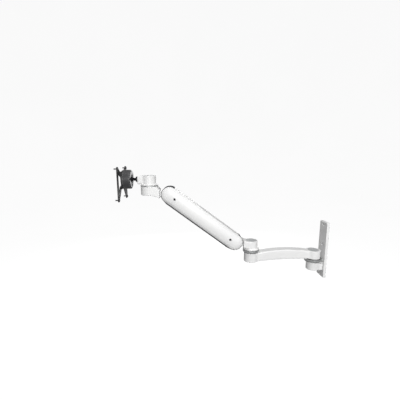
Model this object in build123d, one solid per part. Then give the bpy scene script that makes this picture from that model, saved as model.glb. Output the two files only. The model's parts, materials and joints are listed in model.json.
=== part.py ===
from build123d import *
import math
import os

# Wall-mounted monitor arm, millimetres.
# +Z is up, the arm reaches along -X and the wall is the plane X = 0.
# The origin is the centre of the wall plate's back face.

# ---------------------------------------------------------------- driving dimensions

# wall plate
PLATE_THICK = 9.5
PLATE_WIDTH = 50.8
PLATE_HEIGHT = 203.2
PLATE_CORNER = 5.0
PLATE_HOLE_Z = (91.6, 18.6, -91.6)
PLATE_HOLE_R = 3.4
PLATE_SINK_R = 6.0

# vertical swivel axes
WALL_X = -PLATE_THICK - 31.0
EXTENSION_REACH = 228.6
ELBOW_X = WALL_X - EXTENSION_REACH

# lift arm (parallelogram)
REST_ANGLE = 37.0
LINK_LENGTH = 280.0
ELBOW_TO_PIVOT = 62.0
PIVOT_Z = 34.5
LINK_SPACING = 16.0
PIVOT_TO_FRONT = 68.0
STOP_HEAD_R = 3.5
STOP_SHANK_R = 2.0

# swivel stack shared by the three vertical joints
SPINDLE_R = 8.0
THREAD_R = 6.0
RUNNING_GAP = 0.05
BUSH_R = 10.0
BUSH_FLANGE_R = 13.0
BUSH_LENGTH = 8.0
BUSH_FLANGE = 2.0
NUT_WELL_R = 17.0
NUT_WELL_DEPTH = 13.0
CAP_R = 19.0
CAP_THICK = 2.0
SMALL_HUB_R = 22.0
BIG_HUB_R = 25.0
DISC_R = 29.5
PIN_R = 2.0

# levels of the three swivels: bottom of the lower hub, its top face,
# underside of the turning hub and its top
WALL_LEVELS = (-76.0, -43.0, -32.5, -3.0)
ELBOW_LEVELS = (-40.0, -5.0, 5.5, 36.6)
FRONT_LEVELS = (203.0, 232.0, 235.5, 268.0)
FLARE_HEIGHT = 6.0

# extension arm casting
ARM_WIDTH = 33.0
ARM_TOP = ((-50.0, -5.0), (-135.0, 3.3), (-256.0, -8.6))
ARM_BOTTOM = ((-256.0, -39.5), (-135.0, -31.2), (-50.0, -32.5))
ARM_EDGE = 4.0

# lift arm shells, measured across the arm from the line between its pivots
SHELL_R = 27.5
SHELL_RIM_Y = 17.4
SHELL_SHOULDER_Y = 26.5
SHELL_CROWN_Y = 30.5
SHELL_BEVEL = 6.5
SHELL_WALL = 2.4
SHELL_SCREW_INSET = 22.0

# links, pins and gas spring
CHEEK_Y = (7.4, 11.0)
BAR_Y = (11.3, 13.9)
BAR_HALF = 6.3
CHANNEL_Y = (14.5, 17.1)
CHANNEL_R = 28.8
CHANNEL_FLOOR = -32.0
CHANNEL_FLOOR_THICK = 2.3
CHANNEL_ROOF_GAP = 0.4
MAIN_PIN_R = 4.0
LINK_PIN_R = 3.5
PIN_BUSH_WALL = 1.5
SPRING_PIN_R = 3.0
SPRING_EYE_SLACK = 2.4
SPRING_ANCHOR_DROP = 14.0
SPRING_EYE_DROP = 12.6
SPRING_EYE_BACK = 8.43
SPRING_EYE_WALL = 1.7
SPRING_FRONT_S = 214.0
CYLINDER_R = 9.5
CYLINDER_LENGTH = 128.0
ROD_R = 4.0

# tilt head
HEAD_Z = 255.2
BLOCK_END_X = -661.0
BLOCK_HALF_WIDTH = 14.0
BALL_X = -692.0
BALL_R = 9.0
STUD_R = 5.0
DRUM_R = 31.7
DRUM_BACK_X = -680.5
DRUM_FRONT_X = -707.0
DRUM_LID = 4.0
DRUM_EDGE = 4.0
SEAT_R = 14.0
REAR_SEAT_END = 4.5
MOUTH_R = (8.0, 16.5)
TILT_SLOT = (13.0, 24.0)
LID_SCREW_CIRCLE = 23.0
LID_SCREW_R = 2.0
TURNING_WASHER = 1.0
TURNING_BOSS_R = 9.0

# screen plate
VESA_DROP = 14.0
VESA_100 = 50.0
VESA_75 = 37.5
VESA_HALF = 56.0
VESA_SHEET = 3.0
VESA_OFFSET = 4.0
VESA_HOLE_R = 2.25
VESA_STUD_R = 2.0

# ---------------------------------------------------------------- derived places

ANGLE = math.radians(REST_ANGLE)
REAR_X = ELBOW_X - ELBOW_TO_PIVOT
FRONT_PIVOT_X = REAR_X - LINK_LENGTH * math.cos(ANGLE)
FRONT_PIVOT_Z = PIVOT_Z + LINK_LENGTH * math.sin(ANGLE)
FRONT_X = FRONT_PIVOT_X - PIVOT_TO_FRONT
ELBOW_FACE_X = ELBOW_X - 31.0
FRONT_FACE_X = FRONT_PIVOT_X - 33.0
BRACKET_SCREWS = [(y, z) for y in (-10.0, 10.0) for z in (-69.0, -56.0)]
ANCHOR_Z = PIVOT_Z - SPRING_ANCHOR_DROP
STOP_X = FRONT_FACE_X - 3.7
STOP_SEAT_Z = FRONT_LEVELS[1] - 9.5
SCREW_PLACES = (-SHELL_SCREW_INSET, -LINK_LENGTH + SHELL_SCREW_INSET)
CLIP_Y = CHANNEL_Y[1] + 0.2
SEAT_FRONT_X = DRUM_FRONT_X + DRUM_LID
PLATE_NEAR_X = DRUM_FRONT_X - TURNING_WASHER
PLATE_FAR_X = PLATE_NEAR_X - VESA_SHEET
PAD_FAR_X = PLATE_FAR_X - VESA_OFFSET
VESA_Z = HEAD_Z - VESA_DROP
LID_SCREWS = [(LID_SCREW_CIRCLE * math.sin(math.radians(angle)),
               HEAD_Z + LID_SCREW_CIRCLE * math.cos(math.radians(angle)))
              for angle in range(45, 360, 90)]
VESA_CORNERS = [(y, VESA_Z + z) for y in (-VESA_100, VESA_100)
                for z in (-VESA_100, VESA_100)]
VESA_HOLES = VESA_CORNERS + [(y, VESA_Z + z) for y in (-VESA_75, VESA_75)
                             for z in (-VESA_75, VESA_75)]

# ---------------------------------------------------------------- helpers


def upright(radius, low, high, x, y=0.0):
    """Cylinder along Z between two heights."""
    return Pos(x, y, (low + high) / 2) * Cylinder(radius, high - low)


def across(radius, low, high, x, z):
    """Cylinder along Y between two Y values."""
    return Pos(x, (low + high) / 2, z) * Rot(90, 0, 0) * Cylinder(radius, high - low)


def along(radius, low, high, y, z):
    """Cylinder along X between two X values."""
    return Pos((low + high) / 2, y, z) * Rot(0, 90, 0) * Cylinder(radius, high - low)


def block(x_span, y_span, z_span):
    """Box between pairs of coordinates."""
    centre = [(a + b) / 2 for a, b in (x_span, y_span, z_span)]
    size = [abs(b - a) for a, b in (x_span, y_span, z_span)]
    return Pos(*centre) * Box(*size)


def cone_up(low_radius, high_radius, low, high, x):
    """Upright cone frustum between two heights."""
    return Pos(x, 0, (low + high) / 2) * Cone(low_radius, high_radius, high - low)


def side_prism(face, low, high):
    """Extrude a face drawn in X and Z along Y between two Y values."""
    return extrude(Plane.XZ * face, -(high - low)).moved(Location((0, low, 0)))


def hull_face(circles):
    """Face around circles given as (x, z, radius)."""
    return make_hull([Pos(x, z) * Edge.make_circle(r) for x, z, r in circles])


def place_arm(shape):
    """Move a shape drawn with the arm level (rear pivot at the origin,
    front pivot along -X) to its raised place."""
    return Pos(REAR_X, 0, PIVOT_Z) * Rot(0, REST_ANGLE, 0) * shape


def mirrored_y(shape):
    """The shape and its mirror image across the arm's middle plane."""
    return [shape, mirror(shape, about=Plane.XZ)]


def hex_bar(across_flats, low, high, x):
    """Upright hexagon bar."""
    profile = RegularPolygon(across_flats / 2, 6, major_radius=False)
    return Pos(x, 0, low) * extrude(profile, high - low)


def soften(shape, edges, radius):
    """Fillet the edges, or leave them sharp where the radius doesn't fit."""
    try:
        rounded = fillet(edges, radius)
        return rounded if rounded.is_valid else shape
    except (ValueError, RuntimeError):
        return shape


nodes = {}


def keep(name, *shapes):
    """Store one node made of one or more separate solids."""
    solids = [s for shape in shapes for s in shape.solids()]
    nodes[name] = solids[0] if len(solids) == 1 else Compound(children=solids)


# ---------------------------------------------------------------- swivel stack


def lower_bore(levels, x, depth):
    """Blind bore for the spindle, with the cross hole of its lock pin."""
    face = levels[1]
    pin_z = face - depth / 2
    bore = upright(SPINDLE_R, face - depth, face + 1, x)
    return bore + across(PIN_R, -40, 40, x, pin_z)


def turning_bore(levels, x):
    """Bore, bush seats, nut well and cap seat of a turning hub."""
    bottom, top = levels[2], levels[3]
    floor = top - NUT_WELL_DEPTH
    cut = upright(BUSH_R, bottom - 1, floor + 1, x)
    cut += upright(BUSH_FLANGE_R, bottom - 1, bottom + BUSH_FLANGE, x)
    cut += upright(NUT_WELL_R, floor, top + 1, x)
    cut += upright(CAP_R, top - CAP_THICK, top + 1, x)
    return cut


def swivel_stack(name, levels, x, depth, lower_hub_r, disc_low, washer_r):
    """Everything between a lower hub and the hub that turns on it."""
    face, bottom, top = levels[1], levels[2], levels[3]
    floor = top - NUT_WELL_DEPTH
    shoulder = floor + BUSH_FLANGE - 0.5
    spindle_top = floor + 10.6
    pin_z = face - depth / 2

    spindle = upright(SPINDLE_R, face - depth, shoulder, x)
    spindle += upright(THREAD_R, shoulder, spindle_top, x)
    spindle -= across(PIN_R, -20, 20, x, pin_z)
    tip = spindle.edges().filter_by(GeomType.CIRCLE).sort_by(Axis.Z)[-1]
    keep(name + "_spindle", chamfer(tip, 0.8))

    pin_half = lower_hub_r - 1.5
    keep(name + "_spindle_pin", across(PIN_R, -pin_half, pin_half, x, pin_z))

    disc_high = disc_low + (bottom - face) - 2 * (disc_low - face)
    hole = upright(SPINDLE_R + 0.4, face - 1, bottom + 1, x)
    disc = upright(DISC_R, disc_low, disc_high, x) - hole
    rims = disc.edges().filter_by(GeomType.CIRCLE).sort_by(SortBy.RADIUS)[-2:]
    keep(name + "_thrust_disc", chamfer(rims, 0.6))
    washers = []
    for low, high in ((face, disc_low), (disc_high, bottom)):
        washers.append(upright(washer_r, low, high, x) - hole)
    keep(name + "_friction_washers", *washers)

    bushes = []
    inner = upright(SPINDLE_R + RUNNING_GAP, bottom - 1, floor + 5, x)
    low_bush = upright(BUSH_R, bottom, bottom + BUSH_LENGTH, x)
    low_bush += upright(BUSH_FLANGE_R, bottom, bottom + BUSH_FLANGE, x)
    bushes.append(low_bush - inner)
    high_bush = upright(BUSH_R, floor - BUSH_LENGTH, floor, x)
    high_bush += upright(BUSH_FLANGE_R, floor, floor + BUSH_FLANGE, x)
    bushes.append(high_bush - inner)
    keep(name + "_bushes", *bushes)

    rings = []
    seat = floor + BUSH_FLANGE
    for index in range(2):
        low = seat + 1.2 * index
        ring = upright(12.0, low, low + 1.2, x)
        rings.append(ring - upright(THREAD_R + 0.3, low - 1, low + 3, x))
    keep(name + "_spring_washers", *rings)

    nut_low = seat + 2.4
    nut = hex_bar(19.0, nut_low, nut_low + 5.8, x)
    nut &= cone_up(12.6, 9.6, nut_low, nut_low + 6.2, x)
    keep(name + "_lock_nut", nut - upright(THREAD_R, nut_low - 1, nut_low + 8, x))

    cap = upright(CAP_R - 0.15, top - CAP_THICK, top, x)
    cap = fillet(cap.edges().group_by(Axis.Z)[-1], 0.8)
    skirt = upright(NUT_WELL_R - 0.1, top - 5.5, top - CAP_THICK, x)
    skirt -= upright(NUT_WELL_R - 1.7, top - 6, top - CAP_THICK, x)
    keep(name + "_cap", cap + skirt)


# ---------------------------------------------------------------- wall side


def wall_plate():
    outline = RectangleRounded(PLATE_WIDTH, PLATE_HEIGHT, PLATE_CORNER)
    plate = Plane.YZ * extrude(outline, -PLATE_THICK)
    front = plate.edges().group_by(Axis.X)[0]
    plate = fillet(front, 1.0)
    for z in PLATE_HOLE_Z:
        plate -= along(PLATE_HOLE_R, -20, 5, 0, z)
        sink = Cone(PLATE_SINK_R, PLATE_HOLE_R, PLATE_SINK_R - PLATE_HOLE_R)
        depth = PLATE_SINK_R - PLATE_HOLE_R
        plate -= Pos(-PLATE_THICK + depth / 2, 0, z) * Rot(0, 90, 0) * sink
    for y, z in BRACKET_SCREWS:
        plate -= along(3.0, -20, 5, y, z)
        plate -= Pos(-1.5, y, z) * Rot(0, 90, 0) * Cone(3.0, 6.0, 3.0)
    return plate


def wall_bracket():
    low, face = WALL_LEVELS[0], WALL_LEVELS[1]
    flare_low = face - FLARE_HEIGHT
    hub = upright(SMALL_HUB_R, low, flare_low, WALL_X)
    hub = fillet(hub.edges().group_by(Axis.Z)[0], 2.5)
    neck = block((WALL_X, -PLATE_THICK), (-17.0, 17.0), (low, flare_low - 1.0))
    neck = fillet(neck.edges().filter_by(Axis.X), 3.0)
    body = hub + neck
    body += cone_up(SMALL_HUB_R, DISC_R - 0.5, flare_low, face, WALL_X)
    body -= lower_bore(WALL_LEVELS, WALL_X, 28.0)
    for y, z in BRACKET_SCREWS:
        body -= along(3.0, -24.0, 0.0, y, z)
    return body


def bracket_screws():
    screws = []
    for y, z in BRACKET_SCREWS:
        shank = along(3.0, -23.0, -3.0, y, z)
        head = Pos(-1.6, y, z) * Rot(0, 90, 0) * Cone(3.0, 5.8, 2.8)
        socket = Pos(-1.8, y, z) * Rot(0, 90, 0) * extrude(RegularPolygon(2.0, 6), 4)
        screws.append(shank + head - socket)
    return screws


def extension_arm():
    with BuildSketch() as side:
        with BuildLine():
            ThreePointArc(*ARM_TOP)
            Line(ARM_TOP[2], ARM_BOTTOM[0])
            ThreePointArc(*ARM_BOTTOM)
            Line(ARM_BOTTOM[2], ARM_TOP[0])
        make_face()
    beam = side_prism(side.sketch, -ARM_WIDTH / 2, ARM_WIDTH / 2)
    long_edges = [e for e in beam.edges() if e.length > 100]
    beam = fillet(long_edges, ARM_EDGE)
    inner = upright(BIG_HUB_R, WALL_LEVELS[2], WALL_LEVELS[3], WALL_X)
    inner = fillet(inner.edges().group_by(Axis.Z)[-1], 1.5)
    outer = upright(BIG_HUB_R, ELBOW_LEVELS[0], ELBOW_LEVELS[1], ELBOW_X)
    outer = fillet(outer.edges().group_by(Axis.Z)[0], 3.0)
    body = beam + inner + outer
    body -= turning_bore(WALL_LEVELS, WALL_X)
    body -= lower_bore(ELBOW_LEVELS, ELBOW_X, 28.0)
    return body


# ---------------------------------------------------------------- knuckles


def cheek_pair(pivot_x, pivot_z, face_x, lug_low, lug_high):
    """Two lugs from a knuckle's end face to its pivots."""
    toward_face = math.copysign(1.0, face_x - pivot_x)
    circles = [(pivot_x, pivot_z, 10.5),
               (pivot_x, pivot_z + LINK_SPACING, 6.5),
               (face_x + toward_face * 2, pivot_z + lug_low, 1.0),
               (face_x + toward_face * 2, pivot_z + lug_high, 1.0)]
    return mirrored_y(side_prism(hull_face(circles), *CHEEK_Y))


def elbow_knuckle():
    bottom, top = ELBOW_LEVELS[2], ELBOW_LEVELS[3]
    flare_high = bottom + FLARE_HEIGHT
    hub = upright(SMALL_HUB_R, flare_high, top, ELBOW_X)
    hub = fillet(hub.edges().group_by(Axis.Z)[-1], 1.5)
    with BuildSketch() as side:
        with BuildLine():
            Polyline((ELBOW_X, flare_high), (ELBOW_X - 14.0, flare_high),
                     (ELBOW_FACE_X, 14.0), (ELBOW_FACE_X, 42.5))
            ThreePointArc((ELBOW_FACE_X, 42.5), (ELBOW_FACE_X + 8.5, 38.2),
                          (ELBOW_FACE_X + 21.0, top - 1.0))
            Polyline((ELBOW_FACE_X + 21.0, top - 1.0), (ELBOW_X, top - 1.0),
                     (ELBOW_X, flare_high))
        make_face()
    neck = side_prism(side.sketch, -SMALL_HUB_R, SMALL_HUB_R)
    neck = soften(neck, neck.edges().filter_by(Axis.Y).group_by(Axis.X)[0], 2.0)
    body = hub + neck
    body += cone_up(DISC_R - 0.5, SMALL_HUB_R, bottom, flare_high, ELBOW_X)
    for cheek in cheek_pair(REAR_X, PIVOT_Z, ELBOW_FACE_X, -18.0, 5.5):
        body += cheek
    body -= turning_bore(ELBOW_LEVELS, ELBOW_X)
    body -= across(MAIN_PIN_R, -20, 20, REAR_X, PIVOT_Z)
    body -= across(LINK_PIN_R, -20, 20, REAR_X, PIVOT_Z + LINK_SPACING)
    body -= along(4.0, ELBOW_FACE_X - 1, ELBOW_FACE_X + 12, 0, ANCHOR_Z)
    return body


def spring_anchor():
    """Fork on a threaded stud that holds the gas spring's lower pin."""
    fork = block((REAR_X, ELBOW_FACE_X - 7), (-7.1, 7.1), (ANCHOR_Z - 6, ANCHOR_Z + 6))
    fork += across(6.0, -7.1, 7.1, REAR_X, ANCHOR_Z)
    slot = block((REAR_X - 8, REAR_X + 13), (-4.3, 4.3), (ANCHOR_Z - 9, ANCHOR_Z + 9))
    fork -= slot
    fork += along(4.0, ELBOW_FACE_X - 7, ELBOW_FACE_X + 11, 0, ANCHOR_Z)
    return fork - across(SPRING_PIN_R, -10, 10, REAR_X, ANCHOR_Z)


def anchor_nut():
    nut = Rot(0, 90, 0) * extrude(RegularPolygon(6.0, 6, major_radius=False), 5.0)
    nut = Pos(ELBOW_FACE_X - 5.2, 0, ANCHOR_Z) * nut
    return nut - along(4.0, ELBOW_FACE_X - 8, ELBOW_FACE_X + 2, 0, ANCHOR_Z)


def front_knuckle():
    low, face = FRONT_LEVELS[0], FRONT_LEVELS[1]
    with BuildSketch() as side:
        with BuildLine():
            left = FRONT_X - DISC_R
            Polyline((left, low), (FRONT_X + 4, low))
            ThreePointArc((FRONT_X + 4, low), (FRONT_X + 20, low - 3.2),
                          (FRONT_FACE_X, low - 10.5))
            Line((FRONT_FACE_X, low - 10.5), (FRONT_FACE_X, face - 12.0))
            ThreePointArc((FRONT_FACE_X, face - 12.0), (FRONT_FACE_X - 5.3, face - 5.3),
                          (FRONT_FACE_X - 12.0, face))
            Polyline((FRONT_FACE_X - 12.0, face), (left, face), (left, low))
        make_face()
    profile = side_prism(side.sketch, -40, 40)
    with BuildSketch() as plan:
        with Locations((FRONT_X, 0)):
            Circle(DISC_R - 0.5)
        with BuildLine():
            Polyline((FRONT_X, -DISC_R + 0.5), (FRONT_FACE_X, -26.0),
                     (FRONT_FACE_X, 26.0), (FRONT_X, DISC_R - 0.5), close=True)
        make_face()
    footprint = Pos(0, 0, low - 20) * extrude(plan.sketch, 60)
    body = profile & footprint
    rim = [e for e in body.edges() if abs(e.center().X - FRONT_FACE_X) < 0.5]
    body = soften(body, rim, 2.0)
    body += upright(DISC_R - 0.5, face - 12, face, FRONT_X)
    body -= upright(STOP_HEAD_R + 0.3, STOP_SEAT_Z, face + 1, STOP_X)
    for cheek in cheek_pair(FRONT_PIVOT_X, FRONT_PIVOT_Z, FRONT_FACE_X, -9.0, 10.0):
        body += cheek
    body -= lower_bore(FRONT_LEVELS, FRONT_X, 24.0)
    body -= across(MAIN_PIN_R, -20, 20, FRONT_PIVOT_X, FRONT_PIVOT_Z)
    body -= across(LINK_PIN_R, -20, 20, FRONT_PIVOT_X, FRONT_PIVOT_Z + LINK_SPACING)
    body -= upright(STOP_SHANK_R, STOP_SEAT_Z - 12, face + 1, STOP_X)
    return body


def stop_screw():
    top = STOP_SEAT_Z + 4.2
    head = upright(STOP_HEAD_R, STOP_SEAT_Z, top, STOP_X)
    head = fillet(head.edges().group_by(Axis.Z)[-1], 0.6)
    shank = upright(STOP_SHANK_R, STOP_SEAT_Z - 12, STOP_SEAT_Z, STOP_X)
    socket = Pos(STOP_X, 0, top - 2.2) * extrude(RegularPolygon(1.5, 6), 4)
    return head + shank - socket


# ---------------------------------------------------------------- lift arm


def stadium(radius):
    """Outline round both pivots, drawn level in X and Z."""
    return hull_face([(0, 0, radius), (-LINK_LENGTH, 0, radius)])


def extrude_between(low_face, high_face, low, high):
    """Loft between two level outlines at two Y values."""
    plane_low = Plane(origin=(0, low, 0), x_dir=(1, 0, 0), z_dir=(0, -1, 0))
    plane_high = Plane(origin=(0, high, 0), x_dir=(1, 0, 0), z_dir=(0, -1, 0))
    return loft([plane_low * low_face, plane_high * high_face], ruled=True)


def shell_solid(inset, crown, rim_y):
    """Bevelled and crowned half body on the +Y side, drawn level."""
    base = SHELL_R - inset
    shoulder = SHELL_SHOULDER_Y - inset
    bevel = extrude_between(stadium(base), stadium(base - SHELL_BEVEL), rim_y + 1.6, shoulder)
    crown_cap = extrude_between(stadium(base - SHELL_BEVEL), stadium(base - SHELL_BEVEL - 7.5),
                                shoulder, crown)
    wall = side_prism(stadium(base), rim_y, rim_y + 1.6)
    return wall + bevel + crown_cap


def cover_shell():
    """The +Y cover: hollow, with a roof on its upper side and two screw posts."""
    outer = shell_solid(0.0, SHELL_CROWN_Y, SHELL_RIM_Y)
    inner = shell_solid(SHELL_WALL, SHELL_CROWN_Y - SHELL_WALL, SHELL_RIM_Y - 1.0)
    shell = outer - inner
    roof = block((-LINK_LENGTH, 0), (0.15, SHELL_RIM_Y + 1), (SHELL_R - SHELL_WALL, SHELL_R))
    shell += roof
    for s in SCREW_PLACES:
        shell += across(4.5, CHANNEL_Y[1], SHELL_CROWN_Y - 1.5, s, 0)
        shell -= across(2.1, CHANNEL_Y[1] - 1, SHELL_CROWN_Y + 2, s, 0)
        shell -= across(4.1, SHELL_CROWN_Y - 3.6, SHELL_CROWN_Y + 2, s, 0)
    return shell


def cover_screws():
    screws = []
    for s in SCREW_PLACES:
        shank = across(2.1, CHANNEL_Y[0], SHELL_CROWN_Y - 3.6, s, 0)
        head = across(3.9, SHELL_CROWN_Y - 3.6, SHELL_CROWN_Y - 1.0, s, 0)
        key = Pos(s, SHELL_CROWN_Y - 2.6, 0) * Rot(-90, 0, 0) * extrude(RegularPolygon(1.5, 6), 4)
        screws += mirrored_y(shank + head - key)
    return screws


def main_link():
    """Folded channel whose floor closes the underside of the arm."""
    side = hull_face([(0, 0, CHANNEL_R), (-LINK_LENGTH, 0, CHANNEL_R),
                      (-12.0, CHANNEL_FLOOR + 2, 2.0),
                      (-LINK_LENGTH + 12.0, CHANNEL_FLOOR + 2, 2.0)])
    channel = side_prism(side, -CHANNEL_Y[1], CHANNEL_Y[1])
    roof_low = SHELL_R - SHELL_WALL - CHANNEL_ROOF_GAP
    channel -= block((-LINK_LENGTH - 0.3, 0.3), (-20, 20), (roof_low, CHANNEL_R + 1))
    hollow = block((-LINK_LENGTH - 40, 40), (-CHANNEL_Y[0], CHANNEL_Y[0]),
                   (CHANNEL_FLOOR + CHANNEL_FLOOR_THICK, 40))
    channel -= hollow
    for s in (0.0, -LINK_LENGTH):
        channel -= across(MAIN_PIN_R + PIN_BUSH_WALL, -20, 20, s, 0)
    channel -= across(SPRING_PIN_R, -20, 20, -SPRING_FRONT_S, 0)
    for s in SCREW_PLACES:
        channel -= across(2.1, -20, 20, s, 0)
    return channel


def link_bushes(places, radius, span):
    """Thin bushes pressed in both sides of a link."""
    bushes = []
    for s, offset in places:
        bush = across(radius + PIN_BUSH_WALL, span[0], span[1], s, offset)
        bush -= across(radius + RUNNING_GAP, span[0] - 1, span[1] + 1, s, offset)
        bushes += mirrored_y(bush)
    return bushes


def second_link():
    """Two bars and a cross tie, drawn level, then moved parallel to the channel."""
    side = hull_face([(0, 0, BAR_HALF), (-LINK_LENGTH, 0, BAR_HALF)])
    bars = mirrored_y(side_prism(side, *BAR_Y))
    tie = across(3.5, -BAR_Y[0], BAR_Y[0], -LINK_LENGTH / 2, 0)
    link = bars[0] + bars[1] + tie
    for s in (0.0, -LINK_LENGTH):
        link -= across(LINK_PIN_R + PIN_BUSH_WALL, -20, 20, s, 0)
    return link


def raise_link(shape):
    """Second link to its place above the first."""
    return Pos(0, 0, LINK_SPACING) * place_arm(shape)


def headed_pin(x, z):
    """Main pivot pin: head on the near side, clip end on the far side."""
    seat = CHANNEL_Y[1] + 0.3
    pin = across(MAIN_PIN_R, -seat, CLIP_Y + 1.8, x, z)
    head = across(6.5, -seat - 1.6, -seat, x, z)
    head = fillet(head.edges().group_by(Axis.Y)[0], 0.7)
    return pin + head


def plain_pin(x, z, radius, half_length):
    return across(radius, -half_length, half_length, x, z)


def retaining_clip(x, z):
    ring = across(MAIN_PIN_R + 2.6, CLIP_Y, CLIP_Y + 1.2, x, z)
    return ring - across(MAIN_PIN_R, CLIP_Y - 1, CLIP_Y + 3, x, z)


def gas_spring():
    """Cylinder with its front eye, and rod with its rear eye, drawn level."""
    front = -SPRING_FRONT_S
    rear_s = SPRING_EYE_BACK
    drop = -SPRING_EYE_DROP
    slope = math.degrees(math.atan2(-drop, SPRING_FRONT_S + rear_s))
    span = math.hypot(drop, SPRING_FRONT_S + rear_s)
    tube = along(CYLINDER_R, 14.0, 14.0 + CYLINDER_LENGTH, 0, 0)
    tube = fillet(tube.edges().filter_by(GeomType.CIRCLE), 2.0)
    tube -= along(ROD_R + 0.1, CYLINDER_LENGTH - 70, 20.0 + CYLINDER_LENGTH, 0, 0)
    eye = across(7.0, -4.0, 4.0, 0, 0) + block((0, 15), (-4, 4), (-5, 5))
    eye -= across(SPRING_PIN_R, -6, 6, 0, 0)
    tube += eye
    rod = along(ROD_R, CYLINDER_LENGTH - 32.0, span - 10.0, 0, 0)
    bore_r = SPRING_PIN_R + SPRING_EYE_SLACK
    rear = across(bore_r + SPRING_EYE_WALL, -4, 4, span, 0)
    rear += block((span - 10.0, span), (-4, 4), (-4.5, 4.5))
    rear += along(5.8, span - 22.0, span - 9.0, 0, 0)
    rear -= across(bore_r, -6, 6, span, 0)
    rear -= along(ROD_R, span - 30.0, span - 10.0, 0, 0)
    seat = Pos(front, 0, 0) * Rot(0, slope, 0)
    return [place_arm(seat * shape) for shape in (tube, rod, rear)]


# ---------------------------------------------------------------- tilt head


def tilter_hub():
    bottom, top = FRONT_LEVELS[2], FRONT_LEVELS[3]
    flare_high = bottom + FLARE_HEIGHT
    hub = upright(SMALL_HUB_R, flare_high, top, FRONT_X)
    hub = fillet(hub.edges().group_by(Axis.Z)[-1], 1.5)
    arm = block((FRONT_X, BLOCK_END_X), (-BLOCK_HALF_WIDTH, BLOCK_HALF_WIDTH),
                (flare_high - 2.5, top - 1.0))
    end_edges = arm.edges().group_by(Axis.X)[0]
    arm = fillet(end_edges, 4.0)
    body = hub + arm
    body += cone_up(DISC_R - 0.5, SMALL_HUB_R, bottom, flare_high, FRONT_X)
    body -= turning_bore(FRONT_LEVELS, FRONT_X)
    body -= along(STUD_R, BLOCK_END_X - 1, BLOCK_END_X + 14, 0, HEAD_Z)
    return body


def ball_stud():
    ball = Pos(BALL_X, 0, HEAD_Z) * Sphere(BALL_R)
    ball &= block((BALL_X - BALL_R - 1, BALL_X + BALL_R + 1), (-20, 20), (HEAD_Z - 20, HEAD_Z + 20))
    return ball + along(STUD_R, BALL_X, BLOCK_END_X + 13.5, 0, HEAD_Z)


def jam_nut():
    nut = Rot(0, 90, 0) * extrude(RegularPolygon(8.0, 6, major_radius=False), 6.0)
    nut = Pos(BLOCK_END_X - 6.0, 0, HEAD_Z) * nut
    return nut - along(STUD_R, BLOCK_END_X - 8, BLOCK_END_X + 2, 0, HEAD_Z)


def tilter_housing():
    """Drum with a conical mouth, a slot for downward tilt and an open front."""
    cavity_end = BALL_X + REAR_SEAT_END
    drum = along(DRUM_R, SEAT_FRONT_X, DRUM_BACK_X, 0, HEAD_Z)
    back = drum.edges().filter_by(GeomType.CIRCLE).sort_by(Axis.X)[-1]
    drum = fillet(back, DRUM_EDGE)
    drum -= along(SEAT_R, DRUM_FRONT_X, cavity_end, 0, HEAD_Z)
    mouth_start = BALL_X + 3.0
    mouth = Cone(*MOUTH_R, DRUM_BACK_X + 0.5 - mouth_start)
    drum -= Pos((DRUM_BACK_X + 0.5 + mouth_start) / 2, 0, HEAD_Z) * Rot(0, 90, 0) * mouth
    slot_width, slot_depth = TILT_SLOT
    drum -= block((cavity_end - 1, DRUM_BACK_X + 5), (-slot_width / 2, slot_width / 2),
                  (HEAD_Z - slot_depth, HEAD_Z))
    for y, z in LID_SCREWS:
        drum -= along(LID_SCREW_R, DRUM_FRONT_X - 2, DRUM_FRONT_X + 16, y, z)
    return drum


def seat_ring(near, far):
    """Ring round the ball between two distances from its centre along X."""
    with BuildSketch() as profile:
        with Locations(((near + far) / 2, SEAT_R / 2)):
            Rectangle(abs(far - near), SEAT_R)
        Circle(BALL_R + RUNNING_GAP, mode=Mode.SUBTRACT)
    return Pos(BALL_X, 0, HEAD_Z) * revolve(profile.sketch, Axis.X, 360)


def ball_seats():
    half_slot = TILT_SLOT[0] / 2
    rear = seat_ring(0.3, REAR_SEAT_END)
    rear -= block((BALL_X - 1, BALL_X + 8), (-half_slot, half_slot), (HEAD_Z - 20, HEAD_Z))
    return rear, seat_ring(-0.3, SEAT_FRONT_X - BALL_X)


def front_plate():
    """Disc that closes the drum, with the boss the screen plate turns on."""
    boss_end = PLATE_FAR_X - 0.2
    plate = along(DRUM_R, DRUM_FRONT_X, SEAT_FRONT_X, 0, HEAD_Z)
    plate += along(TURNING_BOSS_R, boss_end, DRUM_FRONT_X, 0, HEAD_Z)
    plate -= along(2.5, boss_end - 1, DRUM_FRONT_X + 2.5, 0, HEAD_Z)
    for y, z in LID_SCREWS:
        plate -= along(LID_SCREW_R, DRUM_FRONT_X - 2, DRUM_FRONT_X + 16, y, z)
        plate -= along(3.8, DRUM_FRONT_X - 1, DRUM_FRONT_X + 2.2, y, z)
    return plate


def housing_screws():
    screws = []
    for y, z in LID_SCREWS:
        head = along(3.7, DRUM_FRONT_X + 0.2, DRUM_FRONT_X + 2.2, y, z)
        shank = along(LID_SCREW_R, DRUM_FRONT_X + 2.2, DRUM_FRONT_X + 15.0, y, z)
        screws.append(head + shank)
    return screws


def vesa_plate():
    """Pressed steel spider: centre disc, four arms and two side bars."""
    near, far = PLATE_NEAR_X, PLATE_FAR_X
    body = along(30.0, far, near, 0, HEAD_Z)
    for y, z in VESA_CORNERS:
        body += spider_arm(y, z)
    for y in (-VESA_100, VESA_100):
        bar = block((PAD_FAR_X, PAD_FAR_X + VESA_SHEET), (y - 6, y + 6),
                    (VESA_Z - VESA_HALF, VESA_Z + VESA_HALF))
        body += fillet(bar.edges().filter_by(Axis.X), 5.0)
    body -= along(TURNING_BOSS_R + 0.1, far - 2, near + 2, 0, HEAD_Z)
    for y, z in VESA_HOLES:
        body -= along(VESA_HOLE_R, PAD_FAR_X - 2, near + 2, y, z)
    return body


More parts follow.
